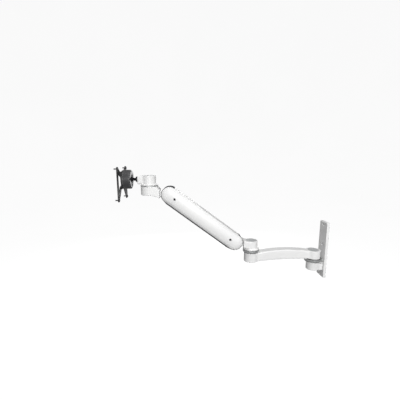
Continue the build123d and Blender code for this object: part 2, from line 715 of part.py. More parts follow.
def spider_arm(y, z):
    """One joggled arm from the disc to a corner, stepping between two levels."""
    length = math.hypot(y, z - HEAD_Z)
    c = y / length
    s = (z - HEAD_Z) / length
    step = VESA_OFFSET
    sheet = VESA_SHEET
    with BuildSketch() as path:
        with BuildLine():
            Polyline((18, 0), (32, 0), (32 + step, -step), (length, -step),
                     (length, -step - sheet), (30.8 + step, -step - sheet),
                     (30.8, -sheet), (18, -sheet), close=True)
        make_face()
    stand = Plane(origin=(PLATE_NEAR_X, 0, HEAD_Z), x_dir=(0, c, s), z_dir=(0, s, -c))
    return extrude(stand * path.sketch, 8.0, both=True)


def turning_washer():
    washer = along(20.0, PLATE_NEAR_X, DRUM_FRONT_X, 0, HEAD_Z)
    hole = along(TURNING_BOSS_R + 0.1, PLATE_NEAR_X - 1, DRUM_FRONT_X + 1, 0, HEAD_Z)
    return washer - hole


def retaining_screw():
    """Flanged screw that holds the screen plate on the front plate's boss."""
    screw = along(2.5, DRUM_FRONT_X - 5.6, DRUM_FRONT_X + 2.4, 0, HEAD_Z)
    screw += along(5.0, PLATE_FAR_X - 3.2, PLATE_FAR_X - 1.4, 0, HEAD_Z)
    return screw + along(15.0, PLATE_FAR_X - 1.4, PLATE_FAR_X - 0.25, 0, HEAD_Z)


def vesa_screws():
    """Screws at the corners of the wider pattern, standing out toward the screen."""
    screws = []
    seat = PAD_FAR_X + VESA_SHEET
    for y, z in VESA_CORNERS:
        head = along(3.9, seat, seat + 2.4, y, z)
        head = fillet(head.edges().group_by(Axis.X)[-1], 0.9)
        neck = along(VESA_STUD_R + 0.2, PAD_FAR_X, seat, y, z)
        shank = along(VESA_STUD_R, PAD_FAR_X - 9.0, PAD_FAR_X, y, z)
        cross = block((seat + 1.0, seat + 4), (y - 0.5, y + 0.5), (z - 2.2, z + 2.2))
        cross += block((seat + 1.0, seat + 4), (y - 2.2, y + 2.2), (z - 0.5, z + 0.5))
        screws.append(head + neck + shank - cross)
    return screws


# ---------------------------------------------------------------- assembly

keep("wall_plate", wall_plate())
keep("wall_bracket", wall_bracket())
keep("bracket_screws", *bracket_screws())
swivel_stack("wall", WALL_LEVELS, WALL_X, 28.0, SMALL_HUB_R, WALL_LEVELS[1] + 1.5, DISC_R - 1.5)

keep("extension_arm", extension_arm())
swivel_stack("elbow", ELBOW_LEVELS, ELBOW_X, 28.0, BIG_HUB_R, ELBOW_LEVELS[1] + 1.5, DISC_R - 1.5)

keep("elbow_knuckle", elbow_knuckle())
keep("spring_anchor", spring_anchor())
keep("anchor_nut", anchor_nut())

keep("main_link", place_arm(main_link()))
shell = cover_shell()
keep("far_cover", place_arm(shell))
keep("near_cover", place_arm(mirror(shell, about=Plane.XZ)))
keep("cover_screws", *[place_arm(screw) for screw in cover_screws()])
pivots = [(0.0, 0.0), (-LINK_LENGTH, 0.0)]
main_bushes = link_bushes(pivots, MAIN_PIN_R, CHANNEL_Y)
keep("main_link_bushes", *[place_arm(bush) for bush in main_bushes])
keep("second_link", raise_link(second_link()))
bar_bushes = link_bushes(pivots, LINK_PIN_R, BAR_Y)
keep("second_link_bushes", *[raise_link(bush) for bush in bar_bushes])

for end, x, z in (("rear", REAR_X, PIVOT_Z), ("front", FRONT_PIVOT_X, FRONT_PIVOT_Z)):
    pins = [headed_pin(x, z), plain_pin(x, z + LINK_SPACING, LINK_PIN_R, 14.1)]
    if end == "rear":
        pins.append(plain_pin(x, ANCHOR_Z, SPRING_PIN_R, 7.1))
    keep(end + "_pins", *pins)
    keep(end + "_pin_clip", retaining_clip(x, z))
spring_pin = plain_pin(-SPRING_FRONT_S, 0, SPRING_PIN_R, 17.1)
keep("spring_front_pin", place_arm(spring_pin))

cylinder, rod, rear_eye = gas_spring()
keep("gas_spring_cylinder", cylinder)
keep("gas_spring_rod", rod)
keep("gas_spring_rear_eye", rear_eye)

keep("front_knuckle", front_knuckle())
keep("lift_stop_screw", stop_screw())
swivel_stack("front", FRONT_LEVELS, FRONT_X, 24.0, BIG_HUB_R, FRONT_LEVELS[1] + 0.8, DISC_R - 5.0)

keep("tilter_hub", tilter_hub())
keep("ball_stud", ball_stud())
keep("ball_stud_nut", jam_nut())
keep("tilter_housing", tilter_housing())
rear_seat, front_seat = ball_seats()
keep("rear_ball_seat", rear_seat)
keep("front_ball_seat", front_seat)
keep("housing_front_plate", front_plate())
keep("housing_screws", *housing_screws())

keep("vesa_plate", vesa_plate())
keep("vesa_friction_washer", turning_washer())
keep("vesa_retaining_screw", retaining_screw())
keep("vesa_screws", *vesa_screws())

os.makedirs("parts", exist_ok=True)
for name, shape in nodes.items():
    shape.label = name
    export_step(shape, os.path.join("parts", name + ".step"))
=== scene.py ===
import json
import math

import bmesh
import bpy
import numpy as np
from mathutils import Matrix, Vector


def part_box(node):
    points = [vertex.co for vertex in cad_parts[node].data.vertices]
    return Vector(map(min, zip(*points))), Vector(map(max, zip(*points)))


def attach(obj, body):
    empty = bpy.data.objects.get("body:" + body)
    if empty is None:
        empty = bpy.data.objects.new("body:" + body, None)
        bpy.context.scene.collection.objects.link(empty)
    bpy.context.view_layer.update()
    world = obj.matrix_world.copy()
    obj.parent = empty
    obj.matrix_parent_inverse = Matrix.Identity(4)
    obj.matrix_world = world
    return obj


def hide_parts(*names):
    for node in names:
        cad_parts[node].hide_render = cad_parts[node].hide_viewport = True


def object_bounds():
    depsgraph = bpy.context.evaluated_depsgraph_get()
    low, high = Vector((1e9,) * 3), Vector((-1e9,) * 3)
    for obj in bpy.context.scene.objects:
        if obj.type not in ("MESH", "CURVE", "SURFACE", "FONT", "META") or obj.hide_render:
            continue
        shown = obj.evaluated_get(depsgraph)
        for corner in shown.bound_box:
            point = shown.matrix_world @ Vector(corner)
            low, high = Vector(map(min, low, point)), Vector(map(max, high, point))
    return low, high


MM = 0.001

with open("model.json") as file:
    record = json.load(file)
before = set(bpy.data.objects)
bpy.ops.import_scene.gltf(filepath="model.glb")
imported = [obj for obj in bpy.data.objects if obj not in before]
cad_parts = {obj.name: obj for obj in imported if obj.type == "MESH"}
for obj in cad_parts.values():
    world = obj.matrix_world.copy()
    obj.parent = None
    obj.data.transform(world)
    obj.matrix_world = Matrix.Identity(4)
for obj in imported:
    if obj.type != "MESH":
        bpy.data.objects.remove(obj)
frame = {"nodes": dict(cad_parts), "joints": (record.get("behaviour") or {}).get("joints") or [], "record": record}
cad_box = [list(corner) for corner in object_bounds()]
joints = {joint["name"]: joint for joint in frame["joints"]}


# ---------------------------------------------------------------- sizes from the frame (mm)


def span(node):
    """Lowest and highest corner of a CAD node, in millimetres."""
    low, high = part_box(node)
    return np.array(low) / MM, np.array(high) / MM


def joint_place(name):
    return np.array(joints[name]["pos_m"]) / MM


class Swivel:
    """Levels and radii of one upright swivel, read from its CAD nodes."""

    def __init__(self, name, joint):
        washers = span(name + "_friction_washers")
        cap = span(name + "_cap")
        disc = span(name + "_thrust_disc")
        self.name = name
        self.x = joint_place(joint)[0]
        self.face = washers[0][2]
        self.bottom = washers[1][2]
        self.top = cap[1][2]
        self.disc_r = (disc[1][0] - disc[0][0]) / 2
        self.cap_r = (cap[1][0] - cap[0][0]) / 2
        self.cap_low = cap[0][2]


WALL = Swivel("wall", "wall_swivel")
ELBOW = Swivel("elbow", "elbow_swivel")
FRONT = Swivel("front", "front_swivel")

HUB_R = 22.0
ARM_HUB_R = 25.0
FLARE_LIP = 1.4
FLARE_FILLET = 4.6
SPINDLE_R = 8.0
BUSH_R = 10.0
WELL_R = 17.0
WELL_DEPTH = 13.0
CAP_SEAT = 2.0
CAP_SEAT_GAP = 0.15
BORE_DEPTH = 28.0
FRONT_BORE_DEPTH = 24.0
BORE_LIP = 0.4
OPEN_END = 5.0
PIN_R = 4.0
LINK_PIN_R = 3.5

PLATE_CORNER = 5.0
PLATE_HOLES_Z = (91.6, 18.6, -91.6)
PLATE_HOLE_R = 3.4
PLATE_SINK_R = 6.0
BRACKET_NECK_HALF = 17.0
BRACKET_NECK_DROP = 8.5

BEAM_TOP = ((-50.0, -5.0), (-135.0, 3.3), (-256.0, -8.6))
BEAM_BOTTOM = ((-50.0, -32.5), (-135.0, -31.2), (-256.0, -39.5))
BEAM_HALF = 16.5

REAR_PIVOT = joint_place("lift")
FRONT_PIVOT = joint_place("front_level")
SECOND_PIVOT = joint_place("second_link_turn")
LINK_SPACING = SECOND_PIVOT[2] - REAR_PIVOT[2]
LINK = FRONT_PIVOT - REAR_PIVOT
LINK_LENGTH = math.hypot(LINK[0], LINK[2])
ARM_COS = -LINK[0] / LINK_LENGTH
ARM_SIN = LINK[2] / LINK_LENGTH
LUG_R = 10.5
LUG_TOP_R = 6.5
LUG_ROOT = 2.0
ELBOW_FACE_X = ELBOW.x - 31.0
ELBOW_LUG = (-18.0, 5.5)
ELBOW_FIN_LOW = 20.0
ELBOW_FIN_TOP = 42.5
ELBOW_FIN_REACH = 21.0
ELBOW_SCOOP = (8.5, 4.3)
ELBOW_NECK_LOW = 14.0
ELBOW_NECK_START = (14.0, 6.0)
FRONT_FACE_X = FRONT_PIVOT[0] - 33.0
FRONT_LUG = (-9.0, 10.0)
FRONT_SHOULDER = 12.0
FRONT_SHOULDER_BEND = 5.3
FRONT_DEPTH = 29.0
FRONT_HEEL_START = 4.0
FRONT_HEEL_BEND = (20.0, 3.2)
FRONT_TAPER = 3.0
FRONT_PLAN_REACH = 6.0
STOP_SINK = 9.5
STOP_SEAT_GAP = 0.3
HEAD_BLOCK_HALF = 14.0
HEAD_BLOCK_LOW = 4.0
HEAD_STUD_DEPTH = 14.0

SHELL_R = 27.5
SHELL_RIM_Y = 17.4
SHELL_SHOULDER_Y = 26.5
SHELL_CROWN_Y = span("far_cover")[1][1]
SHELL_BEVEL = 6.5
SHELL_WALL = 2.4
CREASE_DEPTH = 1.5
CREASE_WIDTH = 1.25
SHELL_SCREW_INSET = 22.0
SHELL_RIM_LIP = 1.6
ROOF_LAP = 2.0
SEAM_HALF = 0.15
SHELL_POST_R = 4.5
SHELL_SCREW_R = 2.1
SHELL_SCREW_SEAT_R = 4.1
SHELL_SCREW_SEAT_DEPTH = 4.2
CHANNEL_Y = (14.5, 17.1)
CHANNEL_R = 28.8
CHANNEL_LOW = -32.0
CHANNEL_FLOOR = 2.3
CHANNEL_ROOF_GAP = 0.4
CHANNEL_TOE = (12.0, 2.0)
CHANNEL_BEND_R = 3.0
CHANNEL_PIN_ROOM = 1.5
CHEEK_Y = (7.4, 11.0)

HEAD = joint_place("tilt")
DRUM_BACK_X = span("tilter_housing")[1][0]
LID_BACK_X = span("tilter_housing")[0][0]
DRUM_R = (span("tilter_housing")[1][1] - span("tilter_housing")[0][1]) / 2
LID_FRONT_X = span("vesa_friction_washer")[1][0]
SHEET_NEAR_X = span("vesa_friction_washer")[0][0]
SHEET = 3.0
SHEET_SLACK = 0.05
SHEET_STEEP = 0.86
PAD_FAR_X = span("vesa_plate")[0][0]
JOGGLE = SHEET_NEAR_X - SHEET - PAD_FAR_X
VESA_LOW, VESA_HIGH = span("vesa_plate")
VESA_Z = (VESA_LOW[2] + VESA_HIGH[2]) / 2
VESA_100 = 50.0
VESA_75 = 37.5
SCREEN_SEAT_X = PAD_FAR_X + SHEET
BOSS_R = 9.0
LID_SCREW_CIRCLE = 23.0
LID_SCREW_HOLE_R = 2.0
LID_SCREW_SEAT = (3.8, 2.2)
TURNING_SCREW_R = 2.5
TURNING_FLANGE = (15.0, 1.8)
TURNING_HEAD_R = 5.0
TURNING_SOCKET = (4.0, 1.6)
STUD_R = 5.0
BALL_R = 9.0
BALL_NECK_R = 4.3
BALL_NECK_END = 12.5
THREAD_START = 14.0
THREAD_PITCH = 1.5
NUT_CHAMFER = 1.7

CAVITY_R = 8.0
MOUTH_R = 16.5
MOUTH_START = 3.0
SEAT_R = 14.0
SEAT_START = 4.5
SLOT_HALF = 6.5
SLOT_DROP = 17.5
SLOT_START = 3.5
SLOT_ROUND = 4.0
SLOT_PAST = 12.0

SPIDER_DISC_R = 30.0
SPIDER_BORE_R = 9.1
SPIDER_ARM_HALF = 8.0
SPIDER_BAR_HALF = 6.0
SPIDER_FILLET = 9.0
SPIDER_CORNER = 5.0
SPIDER_HOLE_R = 2.25
JOGGLE_START = 31.0
JOGGLE_WIDTH = 6.0

SCREW_HEAD_R = 3.9
PAN_HEAD = 2.4
CROSS = (2.2, 0.5, 1.0)
PAN_SHANK_R = 2.0
PAN_SHANK = 9.0
PAN_PITCH = 0.7
THREAD_DEPTH = 0.12
SHELL_SCREW_HEAD = (3.6, 1.0)
SHELL_SCREW_SOCKET = (2.6, 1.6)


# ---------------------------------------------------------------- distance fields


def both(a, b, edge=0.0):
    """Inside both shapes, with the outer edge between them rounded."""
    if edge <= 0:
        return np.maximum(a, b)
    corner = np.hypot(np.maximum(a + edge, 0), np.maximum(b + edge, 0))
    return np.minimum(np.maximum(a, b), -edge) + corner


def either(a, b, fillet=0.0):
    """Inside either shape, with the inner corner between them filled."""
    if fillet <= 0:
        return np.minimum(a, b)
    corner = np.hypot(np.maximum(fillet - a, 0), np.maximum(fillet - b, 0))
    return np.maximum(np.minimum(a, b), fillet) - corner


def without(a, b, edge=0.0):
    return both(a, -b, edge)


def between(v, low, high):
    return np.abs(v - (low + high) / 2) - (high - low) / 2


def circle(u, v, u0, v0, radius):
    return np.hypot(u - u0, v - v0) - radius


def puck(u, v, w, centre, radius, low, high, edge=0.0):
    """Round solid about the line u, v = centre, from w low to w high."""
    return both(circle(u, v, centre[0], centre[1], radius), between(w, low, high), edge)


def rounded_box2(u, v, u_span, v_span, radius):
    return both(between(u, *u_span), between(v, *v_span), radius)


def beam2(u, v, a, b, half_width):
    """Capsule between two points in a plane."""
    a, b = np.array(a), np.array(b)
    d = b - a
    t = np.clip(((u - a[0]) * d[0] + (v - a[1]) * d[1]) / (d @ d), 0, 1)
    return np.hypot(u - a[0] - t * d[0], v - a[1] - t * d[1]) - half_width


def hull2(u, v, circles, directions=160):
    """Convex outline round circles given as (u, v, radius)."""
    field = None
    for angle in np.linspace(0, 2 * math.pi, directions, endpoint=False):
        c, s = math.cos(angle), math.sin(angle)
        reach = max(c * cu + s * cv + r for cu, cv, r in circles)
        side = u * c + v * s - reach
        field = side if field is None else np.maximum(field, side)
    return field


def hexagon(u, v, flats):
    """Hexagon about the origin with two flats facing along u."""
    field = np.abs(u) - flats / 2
    for c, s in ((0.5, math.sqrt(0.75)), (-0.5, math.sqrt(0.75))):
        field = np.maximum(field, np.abs(u * c + v * s) - flats / 2)
    return field


def circle_through(a, b, c):
    """Centre and radius of the circle through three points."""
    (ax, ay), (bx, by), (cx, cy) = a, b, c
    d = 2 * (ax * (by - cy) + bx * (cy - ay) + cx * (ay - by))
    x = ((ax**2 + ay**2) * (by - cy) + (bx**2 + by**2) * (cy - ay) + (cx**2 + cy**2) * (ay - by)) / d
    y = ((ax**2 + ay**2) * (cx - bx) + (bx**2 + by**2) * (ax - cx) + (cx**2 + cy**2) * (bx - ax)) / d
    return x, y, math.hypot(ax - x, ay - y)


def below_line(u, v, a, b):
    """Negative under the line from a to b, where a has the smaller u."""
    length = math.hypot(b[0] - a[0], b[1] - a[1])
    return ((v - a[1]) * (b[0] - a[0]) - (u - a[0]) * (b[1] - a[1])) / length


# ---------------------------------------------------------------- meshing a field

CORNERS = np.array([(i, j, k) for i in (0, 1) for j in (0, 1) for k in (0, 1)])
CELL_EDGES = [(a, b) for a in range(8) for b in range(a + 1, 8)
              if np.abs(CORNERS[a] - CORNERS[b]).sum() == 1]
GRID_MARGIN = (1.53, 2.5)
SETTLE_ROUNDS = 4
SETTLE_STEP = 0.02
SETTLE_REACH = 0.6
LEAST_SLOPE = 0.3
NORMAL_STEP = 0.12


def slope(field, points, step):
    """Gradient of a field at points."""
    parts = []
    for axis in range(3):
        ahead, behind = points.copy(), points.copy()
        ahead[:, axis] += step
        behind[:, axis] -= step
        parts.append((field(*ahead.T) - field(*behind.T)) / (2 * step))
    return np.stack(parts, 1)


def grid_lines(low, high, cell, coarse=None):
    """Grid lines one cell apart, or further apart in the stretch coarse = (start, end, step)."""
    start, end = low - GRID_MARGIN[0] * cell, high + GRID_MARGIN[1] * cell
    if not coarse:
        return np.arange(start, end, cell)
    first, last, step = coarse
    return np.concatenate([np.arange(start, first, cell), np.arange(first + cell / 2, last, step),
                           np.arange(last + cell / 2, end, cell)])


def net(field, low, high, cell, coarse=None):
    """Vertices, quads and normals of the closed surface where the field is zero."""
    axes = [grid_lines(a, b, cell, coarse if axis == 0 else None)
            for axis, (a, b) in enumerate(zip(low, high))]
    shape = tuple(len(a) for a in axes)
    grid = np.meshgrid(*axes, indexing="ij", sparse=True)
    values = np.broadcast_to(field(*grid), shape)
    inside = values < 0
    cells_shape = tuple(n - 1 for n in shape)
    count = np.zeros(cells_shape, np.int8)
    for i, j, k in CORNERS:
        count += inside[i:i + cells_shape[0], j:j + cells_shape[1], k:k + cells_shape[2]]
    active = (count > 0) & (count < 8)
    index = np.full(cells_shape, -1, np.int64)
    cells = np.argwhere(active)
    index[active] = np.arange(len(cells))
    total = np.zeros((len(cells), 3))
    hits = np.zeros(len(cells))
    corner_values = [values[tuple((cells + c).T)] for c in CORNERS]
    for a, b in CELL_EDGES:
        fa, fb = corner_values[a], corner_values[b]
        cross = (fa < 0) != (fb < 0)
        t = fa[cross] / (fa[cross] - fb[cross])
        total[cross] += CORNERS[a] + (CORNERS[b] - CORNERS[a]) * t[:, None]
        hits[cross] += 1
    share = total / hits[:, None]
    points = np.stack([lines[at] + (lines[at + 1] - lines[at]) * part
                       for lines, at, part in zip(axes, cells.T, share.T)], 1)
    for _ in range(SETTLE_ROUNDS):
        g = slope(field, points, SETTLE_STEP)
        d = field(*points.T)
        move = g * (d / np.maximum((g**2).sum(1), LEAST_SLOPE))[:, None]
        points -= np.clip(move, -SETTLE_REACH * cell, SETTLE_REACH * cell)
    normals = slope(field, points, NORMAL_STEP * cell)
    normals /= np.maximum(np.linalg.norm(normals, axis=1), 1e-9)[:, None]
    quads = []
    for axis in range(3):
        u, v = [i for i in range(3) if i != axis]
        here = [slice(None)] * 3
        there = [slice(None)] * 3
        here[axis], there[axis] = slice(0, -1), slice(1, None)
        first, second = inside[tuple(here)], inside[tuple(there)]
        change = np.argwhere(first != second)
        starts_inside = first[tuple(change.T)]
        ring = []
        for du, dv in ((0, 0), (1, 0), (1, 1), (0, 1)):
            cell_index = change.copy()
            cell_index[:, u] -= du
            cell_index[:, v] -= dv
            ring.append(index[tuple(cell_index.T)])
        quad = np.stack(ring, 1)
        flip = starts_inside if axis != 1 else ~starts_inside
        quad[flip] = quad[flip][:, ::-1]
        quads.append(quad)
    return points, np.concatenate(quads)[:, ::-1], normals


# ---------------------------------------------------------------- placing pieces


def level_to_row(points):
    """From the level lift arm (rear pivot at the origin) to its raised place."""
    s, y, n = points.T
    return np.stack([REAR_PIVOT[0] + s * ARM_COS + n * ARM_SIN, y,
                     REAR_PIVOT[2] - s * ARM_SIN + n * ARM_COS], 1)


def level_turn(normals):
    s, y, n = normals.T
    return np.stack([s * ARM_COS + n * ARM_SIN, y, -s * ARM_SIN + n * ARM_COS], 1)


def add_object(name, mesh, body, material, nodes):
    obj = bpy.data.objects.new(name, mesh)
    bpy.context.scene.collection.objects.link(obj)
    mesh.materials.append(material)
    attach(obj, body)
    if nodes:
        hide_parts(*nodes)
    return obj


def cast(name, body, material, slot, nodes, field, low, high, cell, level=False, places=((0, 0, 0),),
         mirrored=False, coarse=None):
    """A piece with the shape of a distance field, repeated at the given offsets."""
    points, quads, normals = net(field, low, high, cell, coarse)
    quads = np.concatenate([quads + i * len(points) for i in range(len(places))])
    points = np.concatenate([points + place for place in np.array(places, float)])
    normals = np.tile(normals, (len(places), 1))
    if mirrored:
        across = np.array((1.0, -1.0, 1.0))
        quads = np.concatenate([quads, quads[:, ::-1] + len(points)])
        points = np.concatenate([points, points * across])
        normals = np.concatenate([normals, normals * across])
    if level:
        points, normals = level_to_row(points), level_turn(normals)
    mesh = bpy.data.meshes.new(name)
    mesh.from_pydata((points * MM).tolist(), [], quads.tolist())
    mesh.shade_smooth()
    mesh.normals_split_custom_set_from_vertices(normals.tolist())
    mesh.update()
    return add_object(name, mesh, body, material, nodes)


def rounded_profile(points, steps=5):
    """Outline with corners given as (radius, height, fillet) turned into arcs."""
    out = []
    count = len(points)
    for i, (r, h, fillet) in enumerate(points):
        here = np.array((r, h), float)
        before = np.array(points[i - 1][:2], float)
        after = np.array(points[(i + 1) % count][:2], float)
        if fillet <= 0:
            out.append(here)
            continue
        a = (before - here) / np.linalg.norm(before - here)
        b = (after - here) / np.linalg.norm(after - here)
        half = math.acos(np.clip(a @ b, -1, 1)) / 2
        reach = fillet / math.tan(half)
        centre = here + (a + b) / np.linalg.norm(a + b) * fillet / math.sin(half)
        start, end = here + a * reach - centre, here + b * reach - centre
        turn = math.atan2(start[0] * end[1] - start[1] * end[0], start @ end)
        for t in np.linspace(0, turn, steps + 1):
            c, s = math.cos(t), math.sin(t)
            out.append(centre + np.array((start[0] * c - start[1] * s, start[0] * s + start[1] * c)))
    return out


def lathe(name, profile, segments, steps):
    """Closed mesh of a profile turned about Z, in millimetres."""
    outline = rounded_profile(profile, steps)
    mesh = bpy.data.meshes.new(name)
    work = bmesh.new()
    rings = []
    for r, h in outline:
        if r < 1e-6:
            rings.append([work.verts.new((0, 0, h * MM))])
            continue
        rings.append([work.verts.new((r * MM * math.cos(t), r * MM * math.sin(t), h * MM))
                      for t in np.linspace(0, 2 * math.pi, segments, endpoint=False)])
    for first, second in zip(rings, rings[1:] + rings[:1]):
        for i in range(segments):
            j = (i + 1) % segments
            corners = [first[i % len(first)], first[j % len(first)],
                       second[j % len(second)], second[i % len(second)]]
            unique = list(dict.fromkeys(corners))
            if len(unique) > 2:
                work.faces.new(unique)
    bmesh.ops.recalc_face_normals(work, faces=work.faces)
    work.to_mesh(mesh)
    work.free()
    return mesh


def turned(name, body, material, nodes, profile, centre, axis="Z", segments=112, steps=5):
    """A closed round piece turned about an upright or a fore-and-aft axis."""
    mesh = lathe(name, profile, segments, steps)
    mesh.shade_smooth()
    mesh.set_sharp_from_angle(angle=math.radians(38))
    obj = bpy.data.objects.new(name, mesh)
    bpy.context.scene.collection.objects.link(obj)
    mesh.materials.append(material)
    obj.location = [c * MM for c in centre]
    if axis == "X":
        obj.rotation_euler = (0, math.radians(90), 0)
    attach(obj, body)
    if nodes:
        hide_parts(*nodes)
    return obj


# ---------------------------------------------------------------- materials


class Nodes:
    """Small helper that builds a node tree."""

    def __init__(self, name):
        self.material = bpy.data.materials.new(name)
        self.material.use_nodes = True
        self.tree = self.material.node_tree
        self.tree.nodes.clear()
        self.shader = self.add("ShaderNodeBsdfPrincipled")
        output = self.add("ShaderNodeOutputMaterial")
        self.link(self.shader.outputs["BSDF"], output.inputs["Surface"])
        self.place = self.add("ShaderNodeTexCoord").outputs["Object"]

    def add(self, kind, **settings):
        node = self.tree.nodes.new(kind)
        for key, value in settings.items():
            setattr(node, key, value)
        return node

    def link(self, a, b):
        self.tree.links.new(a, b)

    def noise(self, scale, detail=2.0, vector=None, roughness=0.5):
        node = self.add("ShaderNodeTexNoise")
        node.inputs["Scale"].default_value = scale
        node.inputs["Detail"].default_value = detail
        node.inputs["Roughness"].default_value = roughness
        self.link(vector or self.place, node.inputs["Vector"])
        return node.outputs["Fac"]

    def stretch(self, factors):
        node = self.add("ShaderNodeMapping")
        node.inputs["Scale"].default_value = factors
        self.link(self.place, node.inputs["Vector"])
        return node.outputs["Vector"]

    def range(self, value, low, high, from_low=0.3, from_high=0.7):
        node = self.add("ShaderNodeMapRange")
        node.inputs["From Min"].default_value = from_low
        node.inputs["From Max"].default_value = from_high
        node.inputs["To Min"].default_value = low
        node.inputs["To Max"].default_value = high
        self.link(value, node.inputs["Value"])
        return node.outputs["Result"]

    def math(self, operation, a, b):
        node = self.add("ShaderNodeMath", operation=operation)
        for socket, value in zip(node.inputs, (a, b)):
            if isinstance(value, (int, float)):
                socket.default_value = value
            else:
                self.link(value, socket)
        return node.outputs[0]

    def mix(self, factor, a, b):
        node = self.add("ShaderNodeMix", data_type="RGBA")
        self.link(factor, node.inputs["Factor"])
        for socket, value in ((node.inputs[6], a), (node.inputs[7], b)):
            if isinstance(value, (tuple, list)):
                socket.default_value = (*value, 1)
            else:
                self.link(value, socket)
        return node.outputs[2]

    def bump(self, height, strength, distance, normal=None):
        node = self.add("ShaderNodeBump")
        node.inputs["Strength"].default_value = strength
        node.inputs["Distance"].default_value = distance
        self.link(height, node.inputs["Height"])
        if normal is not None:
            self.link(normal, node.inputs["Normal"])
        return node.outputs["Normal"]

    def edges(self, low=0.505, high=0.53):
        """1 on convex edges, 0 elsewhere."""
        node = self.add("ShaderNodeNewGeometry")
        return self.range(node.outputs["Pointiness"], 0.0, 1.0, low, high)

    def hollows(self, low=0.42, high=0.485):
        """1 in concave creases, 0 elsewhere; it masks painted shade."""
        node = self.add("ShaderNodeNewGeometry")
        return self.range(node.outputs["Pointiness"], 1.0, 0.0, low, high)

    def set(self, **values):
        for key, value in values.items():
            socket = self.shader.inputs[key.replace("_", " ")]
            if isinstance(value, (int, float)):
                socket.default_value = value
            elif isinstance(value, (tuple, list)):
                socket.default_value = (*value, 1)
            else:
                self.link(value, socket)


def coated(name, colour, shade, roughness, peel=0.02, peel_scale=850.0, coat=0.0, worn=None):
    """Powder coat or satin paint: orange peel, cloudy tint and slightly worn edges."""
    n = Nodes(name)
    clouds = n.range(n.noise(22.0, 3.0), 0.0, 1.0)
    tint = n.mix(clouds, colour, shade)
    if worn:
        speckle = n.range(n.noise(420.0, 4.0), 0.0, 1.0, 0.42, 0.6)
        tint = n.mix(n.math("MULTIPLY", n.edges(), speckle), tint, worn)
    fine = n.noise(peel_scale, 3.0, roughness=0.6)
    broad = n.noise(peel_scale / 4.5, 2.0)
    height = n.math("ADD", fine, n.math("MULTIPLY", broad, 1.6))
    rough = n.range(n.noise(95.0, 3.0), roughness[0], roughness[1])
    n.set(Base_Color=tint, Roughness=rough, Normal=n.bump(height, peel, 0.0005))
    n.set(Coat_Weight=coat, Coat_Roughness=0.22)
    return n.material


def moulded(name, colour, shade, roughness, grain=0.02, coat=0.0, hollow=None):
    """Moulded plastic with a fine spark-eroded grain, and painted shade darkening its hollows where asked."""
    n = Nodes(name)
    tint = n.mix(n.range(n.noise(16.0, 2.0), 0.0, 1.0), colour, shade)
    if hollow:
        # painted shade: the tint is pulled towards the hollow colour in concave creases, where shade falls
        tint = n.mix(n.hollows(), tint, hollow)
    fine = n.noise(2600.0, 2.0)
    flow = n.noise(60.0, 2.0, n.stretch((1.0, 1.0, 3.0)))
    height = n.math("ADD", fine, n.math("MULTIPLY", flow, 0.8))
    rough = n.range(n.noise(140.0, 3.0), roughness[0], roughness[1])
    n.set(Base_Color=tint, Roughness=rough, Normal=n.bump(height, grain, 0.0003))
    n.set(Coat_Weight=coat, Coat_Roughness=0.18)
    return n.material


def metal(name, colour, shade, roughness, scratch=0.08, plated=False):
    """Ground or plated steel with fine scratches."""
    n = Nodes(name)
    stained = n.range(n.noise(70.0, 4.0), 0.0, 1.0)
    tint = n.mix(stained, colour, shade)
    lines = n.noise(1400.0, 2.0, n.stretch((1.0, 1.0, 14.0)))
    rough = n.range(n.noise(260.0, 4.0), roughness[0], roughness[1])
    n.set(Base_Color=tint, Metallic=1.0, Roughness=rough, Normal=n.bump(lines, scratch, 0.0002))
    if plated:
        n.set(Coat_Weight=0.25, Coat_Roughness=0.3)
    return n.material


def lathe_turned(name, colour, shade, roughness):
    """Steel faced on a lathe: fine rings round the piece's own axis."""
    n = Nodes(name)
    split = n.add("ShaderNodeSeparateXYZ")
    n.link(n.place, split.inputs[0])
    square = n.math("ADD", n.math("MULTIPLY", split.outputs[0], split.outputs[0]),
                    n.math("MULTIPLY", split.outputs[1], split.outputs[1]))
    radius = n.math("POWER", square, 0.5)
    join = n.add("ShaderNodeCombineXYZ")
    n.link(radius, join.inputs[0])
    n.link(split.outputs[2], join.inputs[2])
    rings = n.noise(2600.0, 3.0, join.outputs[0])
    broad = n.noise(320.0, 2.0, join.outputs[0])
    tint = n.mix(n.range(broad, 0.0, 1.0), colour, shade)
    rough = n.range(rings, roughness[0], roughness[1])
    n.set(Base_Color=tint, Metallic=1.0, Roughness=rough, Anisotropic=0.55,
          Normal=n.bump(rings, 0.12, 0.0001))
    return n.material


WHITE_PAINT = coated("white_powder_coat", (0.83, 0.83, 0.825), (0.79, 0.79, 0.79), (0.42, 0.54),
                     coat=0.08)
# the white shell's hollow colour is painted shade along the crease groove of its bevel
WHITE_SHELL = moulded("white_moulded_shell", (0.85, 0.85, 0.845), (0.81, 0.81, 0.81), (0.42, 0.5),
                      coat=0.08, hollow=(0.3, 0.3, 0.3))
GREY_CAP = moulded("grey_moulded_cap", (0.50, 0.51, 0.515), (0.45, 0.46, 0.465), (0.42, 0.55))
DARK_CHANNEL = coated("dark_channel_paint", (0.035, 0.036, 0.039), (0.05, 0.05, 0.053), (0.4, 0.55))
BLACK_PAINT = coated("black_textured_paint", (0.018, 0.018, 0.019), (0.028, 0.028, 0.029), (0.42, 0.6),
                     peel=0.08, peel_scale=1500.0, worn=(0.09, 0.09, 0.088))
DRUM_PAINT = coated("satin_drum_paint", (0.045, 0.045, 0.047), (0.06, 0.06, 0.062), (0.3, 0.42),
                    peel=0.02, coat=0.2, worn=(0.14, 0.14, 0.138))
BLACK_POLYMER = moulded("black_washer_polymer", (0.022, 0.022, 0.023), (0.032, 0.032, 0.033),
                        (0.5, 0.65))
BUSH_POLYMER = moulded("bush_polymer", (0.52, 0.49, 0.40), (0.46, 0.43, 0.35), (0.45, 0.6))
TURNED_STEEL = lathe_turned("turned_steel", (0.82, 0.83, 0.83), (0.72, 0.74, 0.74), (0.36, 0.5))
